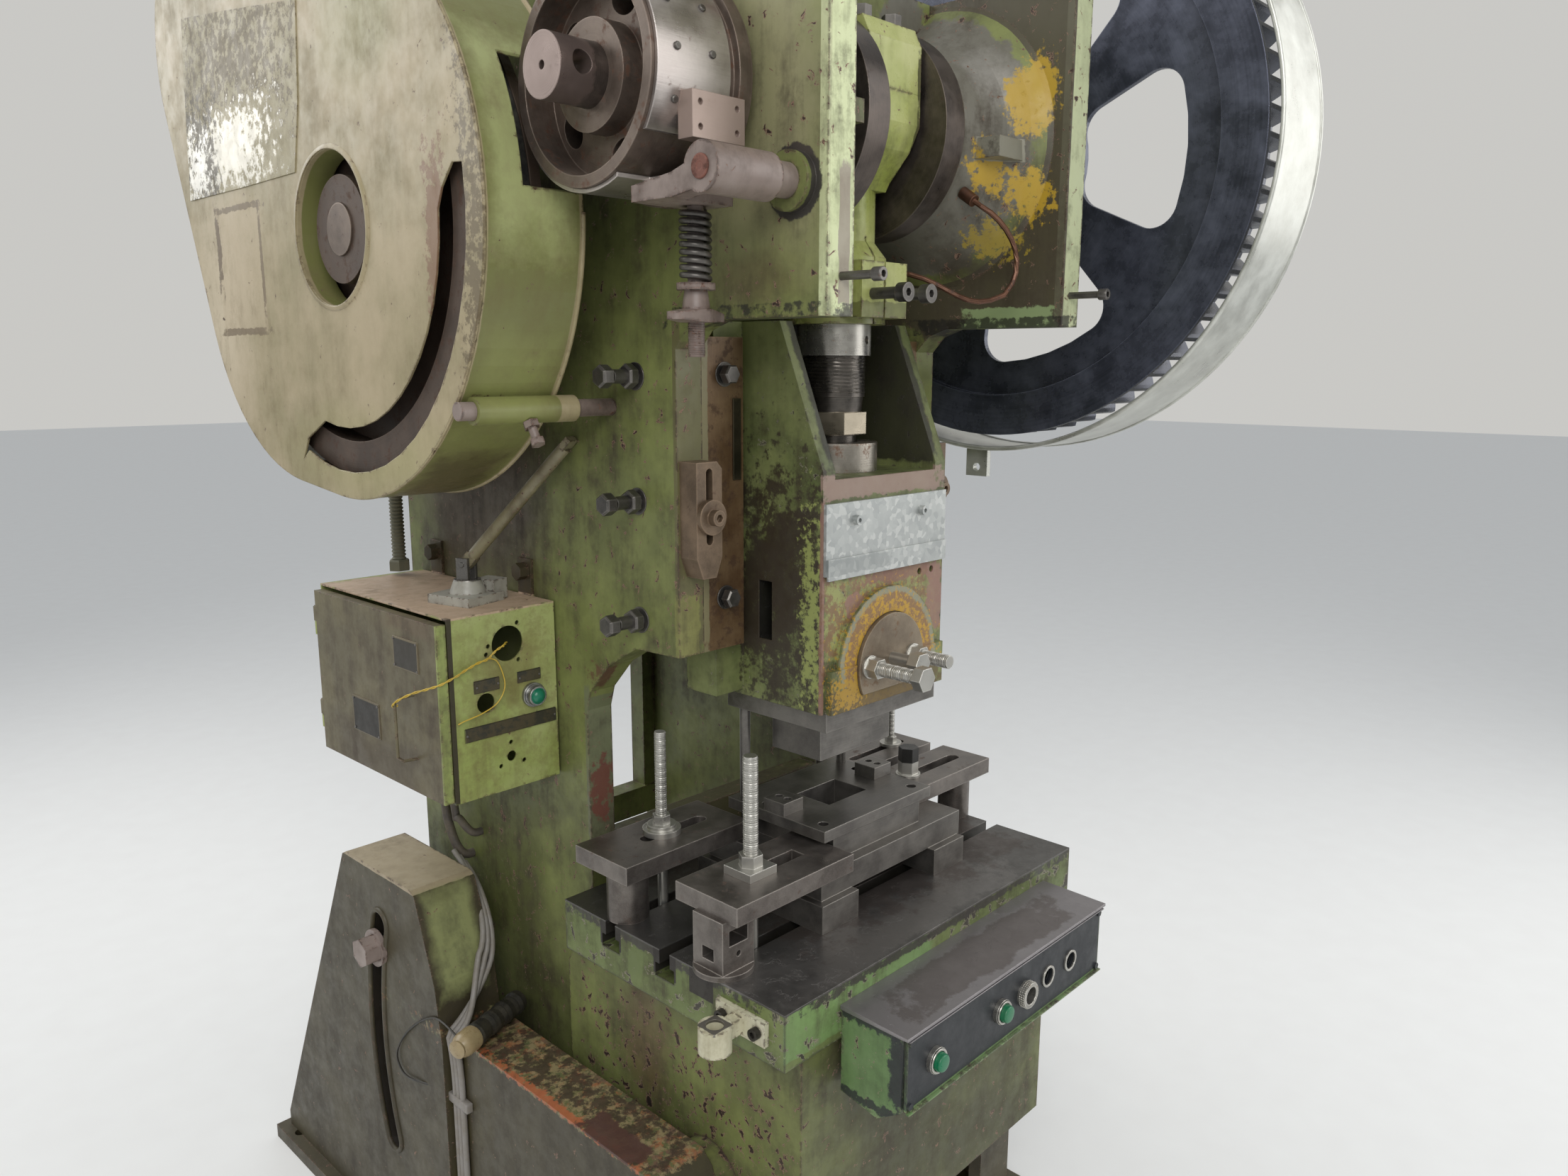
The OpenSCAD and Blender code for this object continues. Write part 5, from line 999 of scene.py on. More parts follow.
class Recipe:
    """A Geometry Nodes tree with named inputs, applied to a carrier mesh and turned into a plain piece."""

    def __init__(self, name: str, sockets: dict[str, str]) -> None:
        """Makes the empty tree.

        Args:
            name: the tree's name.
            sockets: input name to socket type.
        """
        self.tree = bpy.data.node_groups.new(name, "GeometryNodeTree")
        face = self.tree.interface
        face.new_socket("Carrier", in_out="INPUT", socket_type="NodeSocketGeometry")
        self.keys = {key: face.new_socket(key, in_out="INPUT", socket_type=kind).identifier
                     for key, kind in {**sockets, "Finish": "NodeSocketMaterial"}.items()}
        face.new_socket("Result", in_out="OUTPUT", socket_type="NodeSocketGeometry")
        self.inputs = self.tree.nodes.new("NodeGroupInput").outputs

    def close(self, made: Socket) -> None:
        """Ends the tree in Realize Instances and Set Material."""
        real = add(self.tree, "GeometryNodeRealizeInstances", {0: made}).outputs[0]
        dressed = add(self.tree, "GeometryNodeSetMaterial",
                      {"Geometry": real, "Material": self.inputs["Finish"]})
        add(self.tree, "NodeGroupOutput", {0: dressed.outputs[0]})

    def cast(self, carrier: bpy.types.Mesh, values: dict[str, object], name: str, finish: Finish, body: str,
             slot: str, replaces: Sequence[str] = ()) -> bpy.types.Object:
        """Runs the tree on a carrier and keeps the result as a plain mesh.

        Args:
            carrier: the mesh the tree starts from, in the frame's metres.
            values: input name to value, lengths in metres.
            name: the piece's name.
            finish: what it is finished with.
            body: the CAD body that it rides on.
            slot: not used.
            replaces: the CAD nodes that it stands for.

        Returns:
            The finished piece.
        """
        thing = bpy.data.objects.new(name, carrier)
        bpy.context.scene.collection.objects.link(thing)
        run = thing.modifiers.new(self.tree.name, "NODES")
        run.node_group = self.tree
        for key, value in {**values, "Finish": SHOP.get(finish)}.items():
            run[self.keys[key]] = value
        graph = bpy.context.evaluated_depsgraph_get()
        result = bpy.data.meshes.new_from_object(thing.evaluated_get(graph))
        thing.modifiers.remove(run)
        thing.data = result
        result.name = name
        result.shade_smooth()
        result.set_sharp_from_angle(angle=math.radians(38))
        return hand_over(thing, finish, body, replaces)


def dots(spots: Sequence[tuple[Point, Point]]) -> bpy.types.Mesh:
    """Makes a carrier mesh of loose points that each face a way.

    Args:
        spots: pairs of a point in press millimetres and the way it faces.

    Returns:
        The mesh, with the vector attribute "facing".
    """
    mesh = bpy.data.meshes.new("carrier")
    mesh.from_pydata([at(*p) for p, _ in spots], [], [])
    facing = mesh.attributes.new("facing", "FLOAT_VECTOR", "POINT")
    for i, (_, way) in enumerate(spots):
        facing.data[i].vector = Vector(way).normalized()
    return mesh


def line(path: Sequence[Point]) -> bpy.types.Mesh:
    """Makes a carrier mesh of one open line through points in press millimetres."""
    mesh = bpy.data.meshes.new("carrier")
    mesh.from_pydata([at(*p) for p in path], [(i, i + 1) for i in range(len(path) - 1)], [])
    return mesh


def head_recipe() -> Recipe:
    """Builds heads with a chamfered crown, one on each dot, turned to face its way.

    Returns:
        The recipe. Its inputs are Sides, Radius, Height and Crown.
    """
    recipe = Recipe("heads on dots", {"Sides": "NodeSocketInt", "Radius": "NodeSocketFloat",
                                      "Height": "NodeSocketFloat", "Crown": "NodeSocketFloat"})
    tree, have = recipe.tree, recipe.inputs
    foot = add(tree, "GeometryNodeMeshCone", {"Vertices": have["Sides"], "Radius Top": have["Radius"],
                                              "Radius Bottom": have["Radius"], "Depth": have["Height"]})
    narrow = add(tree, MATH, {0: have["Radius"], 1: 0.84}, operation="MULTIPLY").outputs[0]
    crown = add(tree, "GeometryNodeMeshCone", {"Vertices": have["Sides"], "Radius Top": narrow,
                                               "Radius Bottom": have["Radius"], "Depth": have["Crown"]})
    lift = add(tree, "ShaderNodeCombineXYZ", {2: have["Height"]}).outputs[0]
    raised = add(tree, "GeometryNodeTransform",
                 {"Geometry": crown.outputs[0], "Translation": lift}).outputs[0]
    join = add(tree, "GeometryNodeJoinGeometry", {0: foot.outputs[0]})
    tree.links.new(raised, join.inputs[0])
    facing = add(tree, "GeometryNodeInputNamedAttribute", {"Name": "facing"},
                 data_type="FLOAT_VECTOR").outputs[0]
    turn = add(tree, "FunctionNodeAlignRotationToVector", {"Vector": facing}, axis="Z").outputs[0]
    placed = add(tree, "GeometryNodeInstanceOnPoints",
                 {"Points": have["Carrier"], "Instance": join.outputs[0], "Rotation": turn}).outputs[0]
    recipe.close(placed)
    return recipe


def coil_recipe() -> Recipe:
    """Builds a helix of round or edged wire about Z, then sets it on its axis.

    Returns:
        The recipe. Its inputs are Turns, Steps, Radius, Rise, Wire, Edges, Place and Turn.
    """
    recipe = Recipe("helix",
                    {"Turns": "NodeSocketFloat", "Steps": "NodeSocketInt", "Radius": "NodeSocketFloat",
                     "Rise": "NodeSocketFloat", "Wire": "NodeSocketFloat", "Edges": "NodeSocketInt",
                     "Place": "NodeSocketVector", "Turn": "NodeSocketVector"})
    tree, have = recipe.tree, recipe.inputs
    helix = add(tree, "GeometryNodeCurveSpiral", {"Resolution": have["Steps"], "Rotations": have["Turns"],
                                                  "Start Radius": have["Radius"],
                                                  "End Radius": have["Radius"],
                                                  "Height": have["Rise"]}).outputs[0]
    section = add(tree, "GeometryNodeCurvePrimitiveCircle",
                  {"Resolution": have["Edges"], "Radius": have["Wire"]})
    body = add(tree, "GeometryNodeCurveToMesh", {"Curve": helix, "Profile Curve": section.outputs[0],
                                                 "Fill Caps": True}).outputs[0]
    turned = add(tree, "FunctionNodeEulerToRotation", {0: have["Turn"]}).outputs[0]
    placed = add(tree, "GeometryNodeTransform", {"Geometry": body, "Translation": have["Place"],
                                                 "Rotation": turned}).outputs[0]
    recipe.close(placed)
    return recipe


def rib_recipe() -> Recipe:
    """Builds a ribbed hose along a line: a core with a bead at every pitch.

    Returns:
        The recipe. Its inputs are Pitch, Core and Bead.
    """
    recipe = Recipe("ribbed hose", {"Pitch": "NodeSocketFloat", "Core": "NodeSocketFloat",
                                    "Bead": "NodeSocketFloat"})
    tree, have = recipe.tree, recipe.inputs
    curve = add(tree, "GeometryNodeMeshToCurve", {0: have["Carrier"]}).outputs[0]
    section = add(tree, "GeometryNodeCurvePrimitiveCircle",
                  {"Resolution": 16, "Radius": have["Core"]}).outputs[0]
    core = add(tree, "GeometryNodeCurveToMesh", {"Curve": curve, "Profile Curve": section, "Fill Caps": True})
    wire = add(tree, "GeometryNodeCurvePrimitiveCircle", {"Resolution": 6, "Radius": have["Bead"]}).outputs[0]
    bead = add(tree, "GeometryNodeCurveToMesh", {"Curve": section, "Profile Curve": wire}).outputs[0]
    steps = add(tree, "GeometryNodeResampleCurve", {"Curve": curve, "Length": have["Pitch"]}, mode="LENGTH")
    along = add(tree, "GeometryNodeInputTangent").outputs[0]
    turn = add(tree, "FunctionNodeAlignRotationToVector", {"Vector": along}, axis="Z").outputs[0]
    beads = add(tree, "GeometryNodeInstanceOnPoints", {"Points": steps.outputs[0], "Instance": bead,
                                                       "Rotation": turn}).outputs[0]
    join = add(tree, "GeometryNodeJoinGeometry", {0: core.outputs[0]})
    tree.links.new(beads, join.inputs[0])
    recipe.close(join.outputs[0])
    return recipe


HEADS = head_recipe()
HELIX = coil_recipe()
RIBS = rib_recipe()


def thread(name: str, start: Point, axis: Point, length: float, radius: float, pitch: float, finish: Finish,
           body: str, slot: str) -> bpy.types.Object:
    """Lays a screw thread on a plain rod.

    Args:
        name: the piece's name.
        start: where the thread begins on the rod's axis, in press millimetres.
        axis: the way the rod runs.
        length: the threaded length.
        radius: the rod's radius.
        pitch: the distance between two turns, drawn a little coarse so that it shows.
        finish: what it is finished with.
        body: the CAD body that it rides on.
        slot: not used; it is only handed on to the recipe.

    Returns:
        The thread.
    """
    turn = Vector(axis).to_track_quat("Z", "Y").to_euler()
    turns = length / pitch
    values = {"Turns": turns, "Steps": 20, "Radius": (radius - pitch * 0.12) / 1000, "Rise": length / 1000,
              "Wire": pitch * 0.42 / 1000, "Edges": 4, "Place": tuple(at(*start)), "Turn": tuple(turn)}
    return HELIX.cast(dots([(start, axis)]), values, name, finish, body, slot)


def curve_of(a: Point, b: Point, c: Point, d: Point, steps: int) -> list[Vector]:
    """Returns steps + 1 points of the smooth line that four guide points give."""
    made = []
    for i in range(steps + 1):
        t = i / steps
        s = 1 - t
        shares = (s ** 3, 3 * s * s * t, 3 * s * t * t, t ** 3)
        made.append(sum((share * Vector(p) for share, p in zip(shares, (a, b, c, d))), Vector()))
    return made


def through(points: Sequence[Point], steps: int = 6) -> list[Vector]:
    """Rounds a line that goes through every point.

    Args:
        points: the points in order.
        steps: how many parts each stretch is cut into.

    Returns:
        The rounded line's points.
    """
    dense = [Vector(points[0])]
    for i in range(len(points) - 1):
        a, b = Vector(points[i]), Vector(points[i + 1])
        before, after = Vector(points[max(0, i - 1)]), Vector(points[min(len(points) - 1, i + 2)])
        dense += curve_of(a, a + (b - before) / 6, b - (after - a) / 6, b, steps)[1:]
    return dense


@dataclass
class BrakeSet:
    """Brake on the crank's left end: spring, threads of its rod, rivets of the band and the lever's pin."""

    axis_x: float = -360.0
    axis_y: float = 138.0
    low: float = 1693.0
    high: float = 1779.0
    coil: float = 16.0
    wire: float = 3.6
    turns: float = 9.0
    end_gap: float = 0.3
    rod_r: float = 9.7
    rod_pitch: float = 2.6
    rod_threads: tuple[tuple[str, float, float], ...] = (
        ("brake_rod_tail_thread", 1609.0, 38.0), ("brake_rod_top_thread", 1797.0, 4.0))
    drum_y: float = 235.0
    drum_z: float = 1924.0
    band_r: float = 129.0
    rivet_rows: tuple[float, float] = (-412.0, -360.0)
    rivet_angles: range = range(-60, 130, 24)
    pin: Spot = (-429.6, 52.0, 1806.0)
    pin_profile: Profile = (
        (0, 13.2), (1.8, 13.2), (2.8, 12.2), (2.8, 5.0), (2.2, 4.2), (2.2, 0))

    def spring(self) -> None:
        """Winds the round-wire spring that holds the band."""
        rise = self.high - self.low - 2 * self.wire - 2 * self.end_gap
        values = {"Turns": self.turns, "Steps": 28, "Radius": self.coil / 1000, "Rise": rise / 1000,
                  "Wire": self.wire / 1000, "Edges": 10, "Turn": (0.0, 0.0, 0.0),
                  "Place": tuple(at(self.axis_x, self.axis_y, self.low + self.wire + self.end_gap))}
        HELIX.cast(dots([((0, 0, 0), (0, 0, 1))]), values, "brake_coil", BOLT_STEEL, "frame", "brake_spring",
                   ["brake_spring"])

    def threads(self) -> None:
        """Threads the tail and the top of the spring rod."""
        for name, start, length in self.rod_threads:
            thread(name, (self.axis_x, self.axis_y, start), (0, 0, 1), length, self.rod_r, self.rod_pitch,
                   LEVER_IRON, "frame", "spring_rod")

    def rivets(self) -> None:
        """Sets the rivets that show on the band, in two rows."""
        spots = []
        for degrees in self.rivet_angles:
            angle = math.radians(degrees)
            way = (0.0, math.cos(angle + math.pi / 2), math.sin(angle + math.pi / 2))
            for x in self.rivet_rows:
                spots.append(((x, self.drum_y + self.band_r * way[1], self.drum_z + self.band_r * way[2]),
                              way))
        HEADS.cast(dots(spots), {"Sides": 10, "Radius": 0.0045, "Height": 0.0016, "Crown": 0.0012},
                   "band_rivets", BOLT_STEEL, "frame", "brake_band")

    def pin_end(self) -> None:
        """Caps the pin that shows in the lever's end."""
        Shape().lathe(self.pin, (-1, 0, 0), self.pin_profile, 36).piece(
            "lever_pin_end", PIN_IRON, "frame", "brake_lever", 30)

    def build(self) -> None:
        """Makes every piece of the brake."""
        self.spring()
        self.threads()
        self.rivets()
        self.pin_end()


@dataclass
class CrankTrain:
    """Thread of the ball screw under the connecting rod."""

    centre_y: float = 235.0
    screw_r: float = 46.0
    thread_low: float = 1556.0
    thread_high: float = 1610.0
    pitch: float = 5.2
    sink: float = 0.3

    def build(self) -> None:
        """Cuts the fine thread that shows between the flats and the lock collar."""
        thread("ball_screw_thread", (0, self.centre_y, self.thread_low), (0, 0, 1),
               self.thread_high - self.thread_low, self.screw_r - self.sink, self.pitch, SCREW_STEEL, "screw",
               "ball_screw")


@dataclass
class ClampSet:
    """Threads of the die clamps' open studs and of the shank cap's bolts.

    A stud is its name, X, Y, lowest and highest Z and radius. A bolt is its name, X, Y where the thread
    begins and Y where it ends.
    """

    pitch: float = 3.2
    studs: tuple[tuple, ...] = (("stud_thread_left_front", -255.0, 155.0, 940.0, 1079.0, 10.0),
                                ("stud_thread_left_rear", -249.0, 350.0, 940.0, 1067.0, 8.0),
                                ("stud_thread_right_rear", 305.0, 350.0, 928.0, 1111.0, 6.0))
    bolt_z: float = 1173.0
    bolt_r: float = 9.5
    bolt_pitch: float = 3.0
    bolts: tuple[tuple, ...] = (("cap_bolt_thread_left", -54.0, 96.0, 69.0),
                                ("cap_bolt_thread_right", 47.0, 92.0, 46.0),
                                ("cap_bolt_thread_tip", -54.0, 68.0, 28.0))

    def build(self) -> None:
        """Threads each stud from its nut to its top, and each bolt of the shank cap."""
        for name, x, y, low, high, radius in self.studs:
            thread(name, (x, y, low), (0, 0, 1), high - low, radius, self.pitch, STUD_STEEL, "frame",
                   "strap_studs")
        for name, x, near, far in self.bolts:
            thread(name, (x, near, self.bolt_z), (0, -1, 0), near - far, self.bolt_r, self.bolt_pitch,
                   STUD_STEEL, "slide", "cap_studs")


@dataclass
class GibHardware:
    """Hexagon bolts, set screws and lock nuts of the slide guides."""

    side_x: float = 284.0
    liner_y: float = 346.0
    plate_y: float = 263.0
    rows: tuple[float, ...] = (1243.0, 1412.0, 1583.0)
    nut_lift: float = 6.5
    head_lift: float = 47.0
    liner_bolt: Profile = ((0, 19), (1.5, 19), (1.5, 9.6), (42, 9.6))
    plate_x: float = 196.0
    plate_rows: tuple[float, float] = (1275.0, 1586.0)
    plate_lift: float = 5.5
    washer: Profile = ((0, 17), (1.5, 17), (1.5, 0))
    socket_x: float = 259.0
    socket_z: float = 1700.0
    socket_reach: float = 48.0
    socket_shank: Profile = ((0, 5), (50, 5))
    socket_head: Profile = (
        (0, 7), (1, 8), (13, 8), (14, 7.2), (14, 4), (8, 4), (8, 0))

    def build(self) -> None:
        """Makes chamfered heads and nuts, their shanks and washers, and the long socket screws."""
        nuts, heads, plate, shank = [], [], [], Shape()
        for side in (-1, 1):
            for z in self.rows:
                nuts.append(((side * (self.side_x + self.nut_lift), self.liner_y, z), (side, 0, 0)))
                heads.append(((side * (self.side_x + self.head_lift), self.liner_y, z), (side, 0, 0)))
                shank.lathe((side * self.side_x, self.liner_y, z), (side, 0, 0), self.liner_bolt, 28)
            for z in self.plate_rows:
                plate.append(((side * self.plate_x, self.plate_y - self.plate_lift, z), (0, -1, 0)))
                shank.lathe((side * self.plate_x, self.plate_y, z), (0, -1, 0), self.washer, 28)
            screw = (side * self.socket_x, 0.0, self.socket_z)
            shank.lathe(screw, (0, -1, 0), self.socket_shank, 20)
            shank.lathe((screw[0], -self.socket_reach, screw[2]), (0, -1, 0), self.socket_head, 28)
        size = {"Sides": 6, "Height": 0.011, "Crown": 0.0025}
        HEADS.cast(dots(nuts), {**size, "Radius": 0.0172}, "gib_lock_nuts", BOLT_STEEL, "frame", "gib_bolts")
        HEADS.cast(dots(heads), {**size, "Radius": 0.0156, "Height": 0.014}, "gib_set_bolt_heads", BOLT_STEEL,
                   "frame", "gib_bolts")
        HEADS.cast(dots(plate), {**size, "Radius": 0.0139}, "gib_plate_bolt_heads", BOLT_STEEL, "frame",
                   "gib_bolts")
        shank.piece("gib_bolt_shanks", BOLT_STEEL, "frame", "gib_bolts", replaces=["gib_bolts"])


@dataclass
class BeltGuard:
    """Rolled rim, collar lip and fixings of the sheet belt guard."""

    face_x: float = -520.0
    back_x: float = -375.0
    circles: tuple[Spot, ...] = ((712.2, 1787.2, 382.0), (837.2, 1766.2, 348.0), (1060.0, 2099.0, 250.0))
    drum: tuple[float, float] = (235.0, 1924.0)
    notch_r: float = 156.0
    bead_r: float = 2.6
    roll_r: float = 3.4
    hole: tuple[float, float] = (719.2, 1784.2)
    lip: Profile = (
        (-2.5, 105.5), (-2.5, 110.5), (0.5, 113.0), (3.0, 110.0), (3.0, 106.0))
    mend: Profile = (
        (1183.0, 2143.0), (1000.0, 2121.0), (774.0, 2092.0), (790.0, 1960.0), (815.0, 1869.0),
        (1000.0, 1866.0), (1215.0, 1865.0), (1203.0, 1990.0))
    mend_thick: float = 1.6
    mend_sink: float = 0.2

    def outline(self, grow: float = 0.0, steps: int = 160) -> list[tuple[float, float]]:
        """Returns the hull of the guard's circles as Y, Z points, grown by some millimetres."""
        points = []
        for k in range(steps):
            angle = 2 * math.pi * k / steps
            way = (math.cos(angle), math.sin(angle))
            best = max(self.circles, key=lambda c: c[0] * way[0] + c[1] * way[1] + c[2])
            points.append((best[0] + (best[2] + grow) * way[0], best[1] + (best[2] + grow) * way[1]))
        dense = []
        for a, b in zip(points, points[1:] + points[:1]):
            count = max(1, int(math.dist(a, b) / 30))
            dense += [(a[0] + (b[0] - a[0]) * i / count,
                       a[1] + (b[1] - a[1]) * i / count) for i in range(count)]
        return dense

    def rims(self) -> None:
        """Lays a weld bead along the face's edge and rolls the open edge, but for the drum's notch."""
        bead = Shape()
        bead.tube([(self.face_x + 2.5, y, z) for y, z in self.outline(-1.5)], self.bead_r, 8, loop=True)
        bead.piece("guard_edge_bead", GUARD_ENAMEL, "frame", "belt_guard", 60)
        keep = [(y, z) for y, z in self.outline(-1.0) if math.dist((y, z), self.drum) > self.notch_r]
        gap = max(range(len(keep)), key=lambda i: math.dist(keep[i - 1], keep[i]))
        keep = keep[gap:] + keep[:gap]
        Shape().tube([(self.back_x, y, z) for y, z in keep], self.roll_r, 8).piece(
            "guard_rolled_edge", GUARD_ENAMEL, "frame", "belt_guard", 60)

    def collar(self) -> None:
        """Rolls the lip of the round inspection hole."""
        Shape().ring((self.face_x, *self.hole), (1, 0, 0), self.lip, 72).piece(
            "guard_hole_lip", GUARD_ENAMEL, "frame", "belt_guard", 60)

    def repair_sheet(self) -> None:
        """Lays the thin sheet that mends the face's upper corner."""
        Shape().plate(self.mend, self.face_x - self.mend_thick, self.face_x + self.mend_sink).piece(
            "guard_repair_sheet", PATCH_SHEET, "frame", "belt_guard", 30)

    def build(self) -> None:
        """Makes every piece of the belt guard."""
        self.rims()
        self.collar()
        self.repair_sheet()


@dataclass
class GearGuard:
    """Rolled edges of the bull gear's guard ring."""

    near_x: float = 412.0
    far_x: float = 556.0
    centre: tuple[float, float] = (235.0, 1924.0)
    radius: float = 468.5
    pinion: tuple[float, float] = (719.2, 1784.2)
    pinion_r: float = 110.5
    edge_r: float = 4.0
    start: float = -16.1

    def path(self, x: float) -> list[Spot]:
        """Returns the guard's outline at one plane: the big circle joined to the pinion's."""
        points = []
        for k in range(0, 360, 3):
            angle = math.radians(k + self.start)
            big = (self.centre[0] + self.radius * math.cos(angle),
                   self.centre[1] + self.radius * math.sin(angle))
            if math.dist(big, self.pinion) > self.pinion_r:
                points.append((k, big))
        for k in range(-120, 121, 6):
            angle = math.radians(k + self.start)
            small = (self.pinion[0] + self.pinion_r * math.cos(angle),
                     self.pinion[1] + self.pinion_r * math.sin(angle))
            if math.dist(small, self.centre) > self.radius:
                points.append((k / 360, small))
        order = sorted(p for p in points if p[0] >= 1) + sorted(p for p in points if p[0] < 1)
        return [(x, p[1][0], p[1][1]) for p in order]

    def build(self) -> None:
        """Makes both rolled edges."""
        for name, x in (("gear_guard_near_edge", self.near_x), ("gear_guard_far_edge", self.far_x)):
            Shape().tube(self.path(x), self.edge_r, 8, loop=True).piece(
                name, RING_STEEL, "frame", "gear_guard", 60)


@dataclass
class Wiring:
    """Conduit, cables, taped splice and the wire that ties the cabinet shut."""

    cabinet_top: float = 1241.0
    cabinet_low: float = 961.0
    rail_out: float = 432.0
    rail_top: float = 520.0
    strand_r: float = 5.0
    clips: tuple[tuple[float, float, float, float, float, float], ...] = (
        (12, 620, 686, 180, 196, 1.5), (12, 620, 686, 400, 416, 1.5), (22, 630, 680, 30, 70, 3))
    cable_drops: tuple[tuple[float, float, float, float], ...] = ((-324, 890, 740, 8.0),
                                                                  (-318, 858, 790, 7.0))
    splice_ends: Profile = ((-316, 648), (-464, 596))
    splice_lift: float = 21.3
    clear_tape: Profile = ((0, 19.4), (6, 20.6), (14, 19.8), (22, 20.4), (30, 18.5),
                           (36, 14), (40, 15), (43, 6), (43, 0))
    loose_wire: tuple[Point, ...] = ((-452, 612, 541), (-452, 690, 548), (-453, 777, 490), (-454, 826, 425),
                                     (-454, 806, 394), (-453, 752, 402), (-440, 700, 410), (-437, 672, 404))
    wire_lead: tuple[Point, ...] = (
        (-373, 553, 1190), (-384, 545, 1188), (-398, 545, 1182), (-410, 545, 1173), (-430, 545, 1169),
        (-450, 545, 1162), (-470, 546, 1154), (-490, 553, 1146), (-500, 574, 1138), (-510, 604, 1126),
        (-519, 626, 1112), (-517, 635, 1104), (-512, 630, 1106))
    wire_ring: tuple[Point, ...] = (
        (-412, 545, 1174), (-397, 544, 1168), (-387, 544, 1146), (-385, 544, 1124), (-398, 544, 1104),
        (-424, 544, 1093), (-455, 545, 1087), (-464, 546, 1084))
    twist_r: float = 1.15
    door_rivets: tuple[tuple[tuple[int, int], tuple[int, int]], ...] = (((609, 675), (1156, 1197)),
                                                                        ((740, 818), (1026, 1075)))
    front_rivets: Profile = ((-429.5, 1132), (-393.5, 1132), (-355.5, 1132),
                             (-320.5, 1132), (-449, 1062), (-295, 1062))

    def conduits(self) -> None:
        """Makes the ribbed conduit to the motor and the loop behind the cabinet."""
        top = self.cabinet_top
        run = [Vector((-340, 925, top + 10))] + curve_of(
            (-340, 925, top + 40), (-340, 925, 1600), (-332, 935, 1800), (-300, 985, 2080), 26)
        run += curve_of((-285, 1000, 2130), (-265, 1020, 2200), (-250, 1040, 2236), (-205, 1045, 2236), 14)
        run += [Vector((-171, 1045, 2236))]
        size = {"Pitch": 0.0062, "Core": 0.0098, "Bead": 0.0022}
        RIBS.cast(line(run), size, "motor_conduit", CONDUIT_PLASTIC, "frame", "conduit", ["conduit"])
        low = self.cabinet_low
        loop = [Vector((-390, 945, low + 60))] + curve_of(
            (-390, 957, low + 60), (-390, 1035, low + 60), (-390, 1035, low + 190), (-390, 957, low + 190),
            24) + [Vector((-390, 945, low + 190))]
        RIBS.cast(line(loop), size, "cabinet_conduit", CONDUIT_PLASTIC, "frame", "conduit", ["conduit"])
        HEADS.cast(dots([((-340, 925, top + 8), (0, 0, 1))]),
                   {"Sides": 6, "Radius": 0.0185, "Height": 0.016, "Crown": 0.003},
                   "conduit_gland", CONDUIT_PLASTIC, "frame", "conduit")

    def cables(self) -> None:
        """Runs the round cables from the cabinet's floor into the frame."""
        low = self.cabinet_low
        shape = Shape()
        for x, y, z, radius in self.cable_drops:
            path = [Vector((x, y, low))]
            path += curve_of((x, y, low - 8), (x, y, low - 50), (-318, y - 10, low - 10),
                             (-314, y - 20, low - 100), 14)
            path += curve_of((-314, y - 30, low - 150), (-314, y - 40, z + 40), (-314, y - 60, z),
                             (-292, y - 60, z), 12)
            shape.tube(path + [Vector((-284, y - 60, z))], radius, 12)
        shape.piece("cabinet_cables", CABLE_JACKET, "frame", "cables", 60, ["cables"])

    def splice(self) -> None:
        """Lays the wire bundle over the leg's rail with its taped splice."""
        out, top = self.rail_out, self.rail_top
        bundle, tape = Shape(), Shape()
        for k in range(3):
            y = 668 - 11 * k
            path = curve_of((-319 - 3 * k, 800 + 12 * k, 742 + 8 * k), (-320 - 2 * k, 740, 716),
                            (-330 - 8 * k, 690, 650), (-346 - 11 * k, 686, 612 + 9 * k), 10)
            path += curve_of((-348 - 11 * k, 684, 610 + 9 * k), (-370 - 10 * k, 672, 585), (-404, y, 548),
                             (-out - 3, y, top + 9), 12)[1:]
            path += curve_of((-out - 9, y, top - 3), (-out - 6, y - 4, 480), (-out - 6, y - 4, 470),
                             (-out - 6, y - 6, 430), 6)
            bundle.tube(path + [Vector((-out - 6, y - 6, 60))], self.strand_r, 10)
        for proud, near, far, low, high, bevel in self.clips:
            bundle.block((-out - proud, near, low), (-out, far, high), bevel)
        bundle.piece("leg_wire_bundle", GREY_WIRE, "base", "splice", 60, ["splice"])
        a, b = (Vector((x, y, top + self.splice_lift)) for x, y in self.splice_ends)
        profile = [(0, 0), (0, 9), (6, 13)]
        length = (b - a).length
        for i in range(14):
            along = 6 + i * (length - 18) / 14
            lump = 18.8 + 0.9 * math.sin(i * 1.9)
            profile += [(along, lump - 0.7), (along + 1.4, lump)]
        profile += [(length - 8, 12), (length, 8), (length, 0)]
        tape.lathe(a, b - a, profile, 24)
        tape.piece("taped_splice", BLACK_TAPE, "base", "splice", 30, ["splice"])
        way = (b - a).normalized()
        Shape().lathe(b - way * 34, way, self.clear_tape, 22).piece(
            "splice_clear_tape", CLEAR_TAPE, "base", "splice", 30)
        Shape().tube(through(self.loose_wire), 1.8, 6).piece(
            "splice_loose_wire", BLACK_TAPE, "base", "splice", 60)

    def tie_wire(self) -> None:
        """Twists the yellow wire from the cabinet's front hole round the door handle."""
        path = through(self.wire_lead)
        for name, phase in (("tie_wire", 0.0), ("tie_wire_twin", math.pi)):
            strand = [p + self.twist_r * Vector((math.cos(i * 0.9 + phase), 0.4 * math.sin(i * 0.9),
                                                 math.sin(i * 0.9 + phase))) for i, p in enumerate(path)]
            Shape().tube(strand, 0.95, 6).piece(name, YELLOW_WIRE, "frame", "cabinet_body", 60)
        Shape().tube(through(self.wire_ring, 8), 1.0, 6).piece(
            "tie_wire_loop", YELLOW_WIRE, "frame", "cabinet_body", 60)

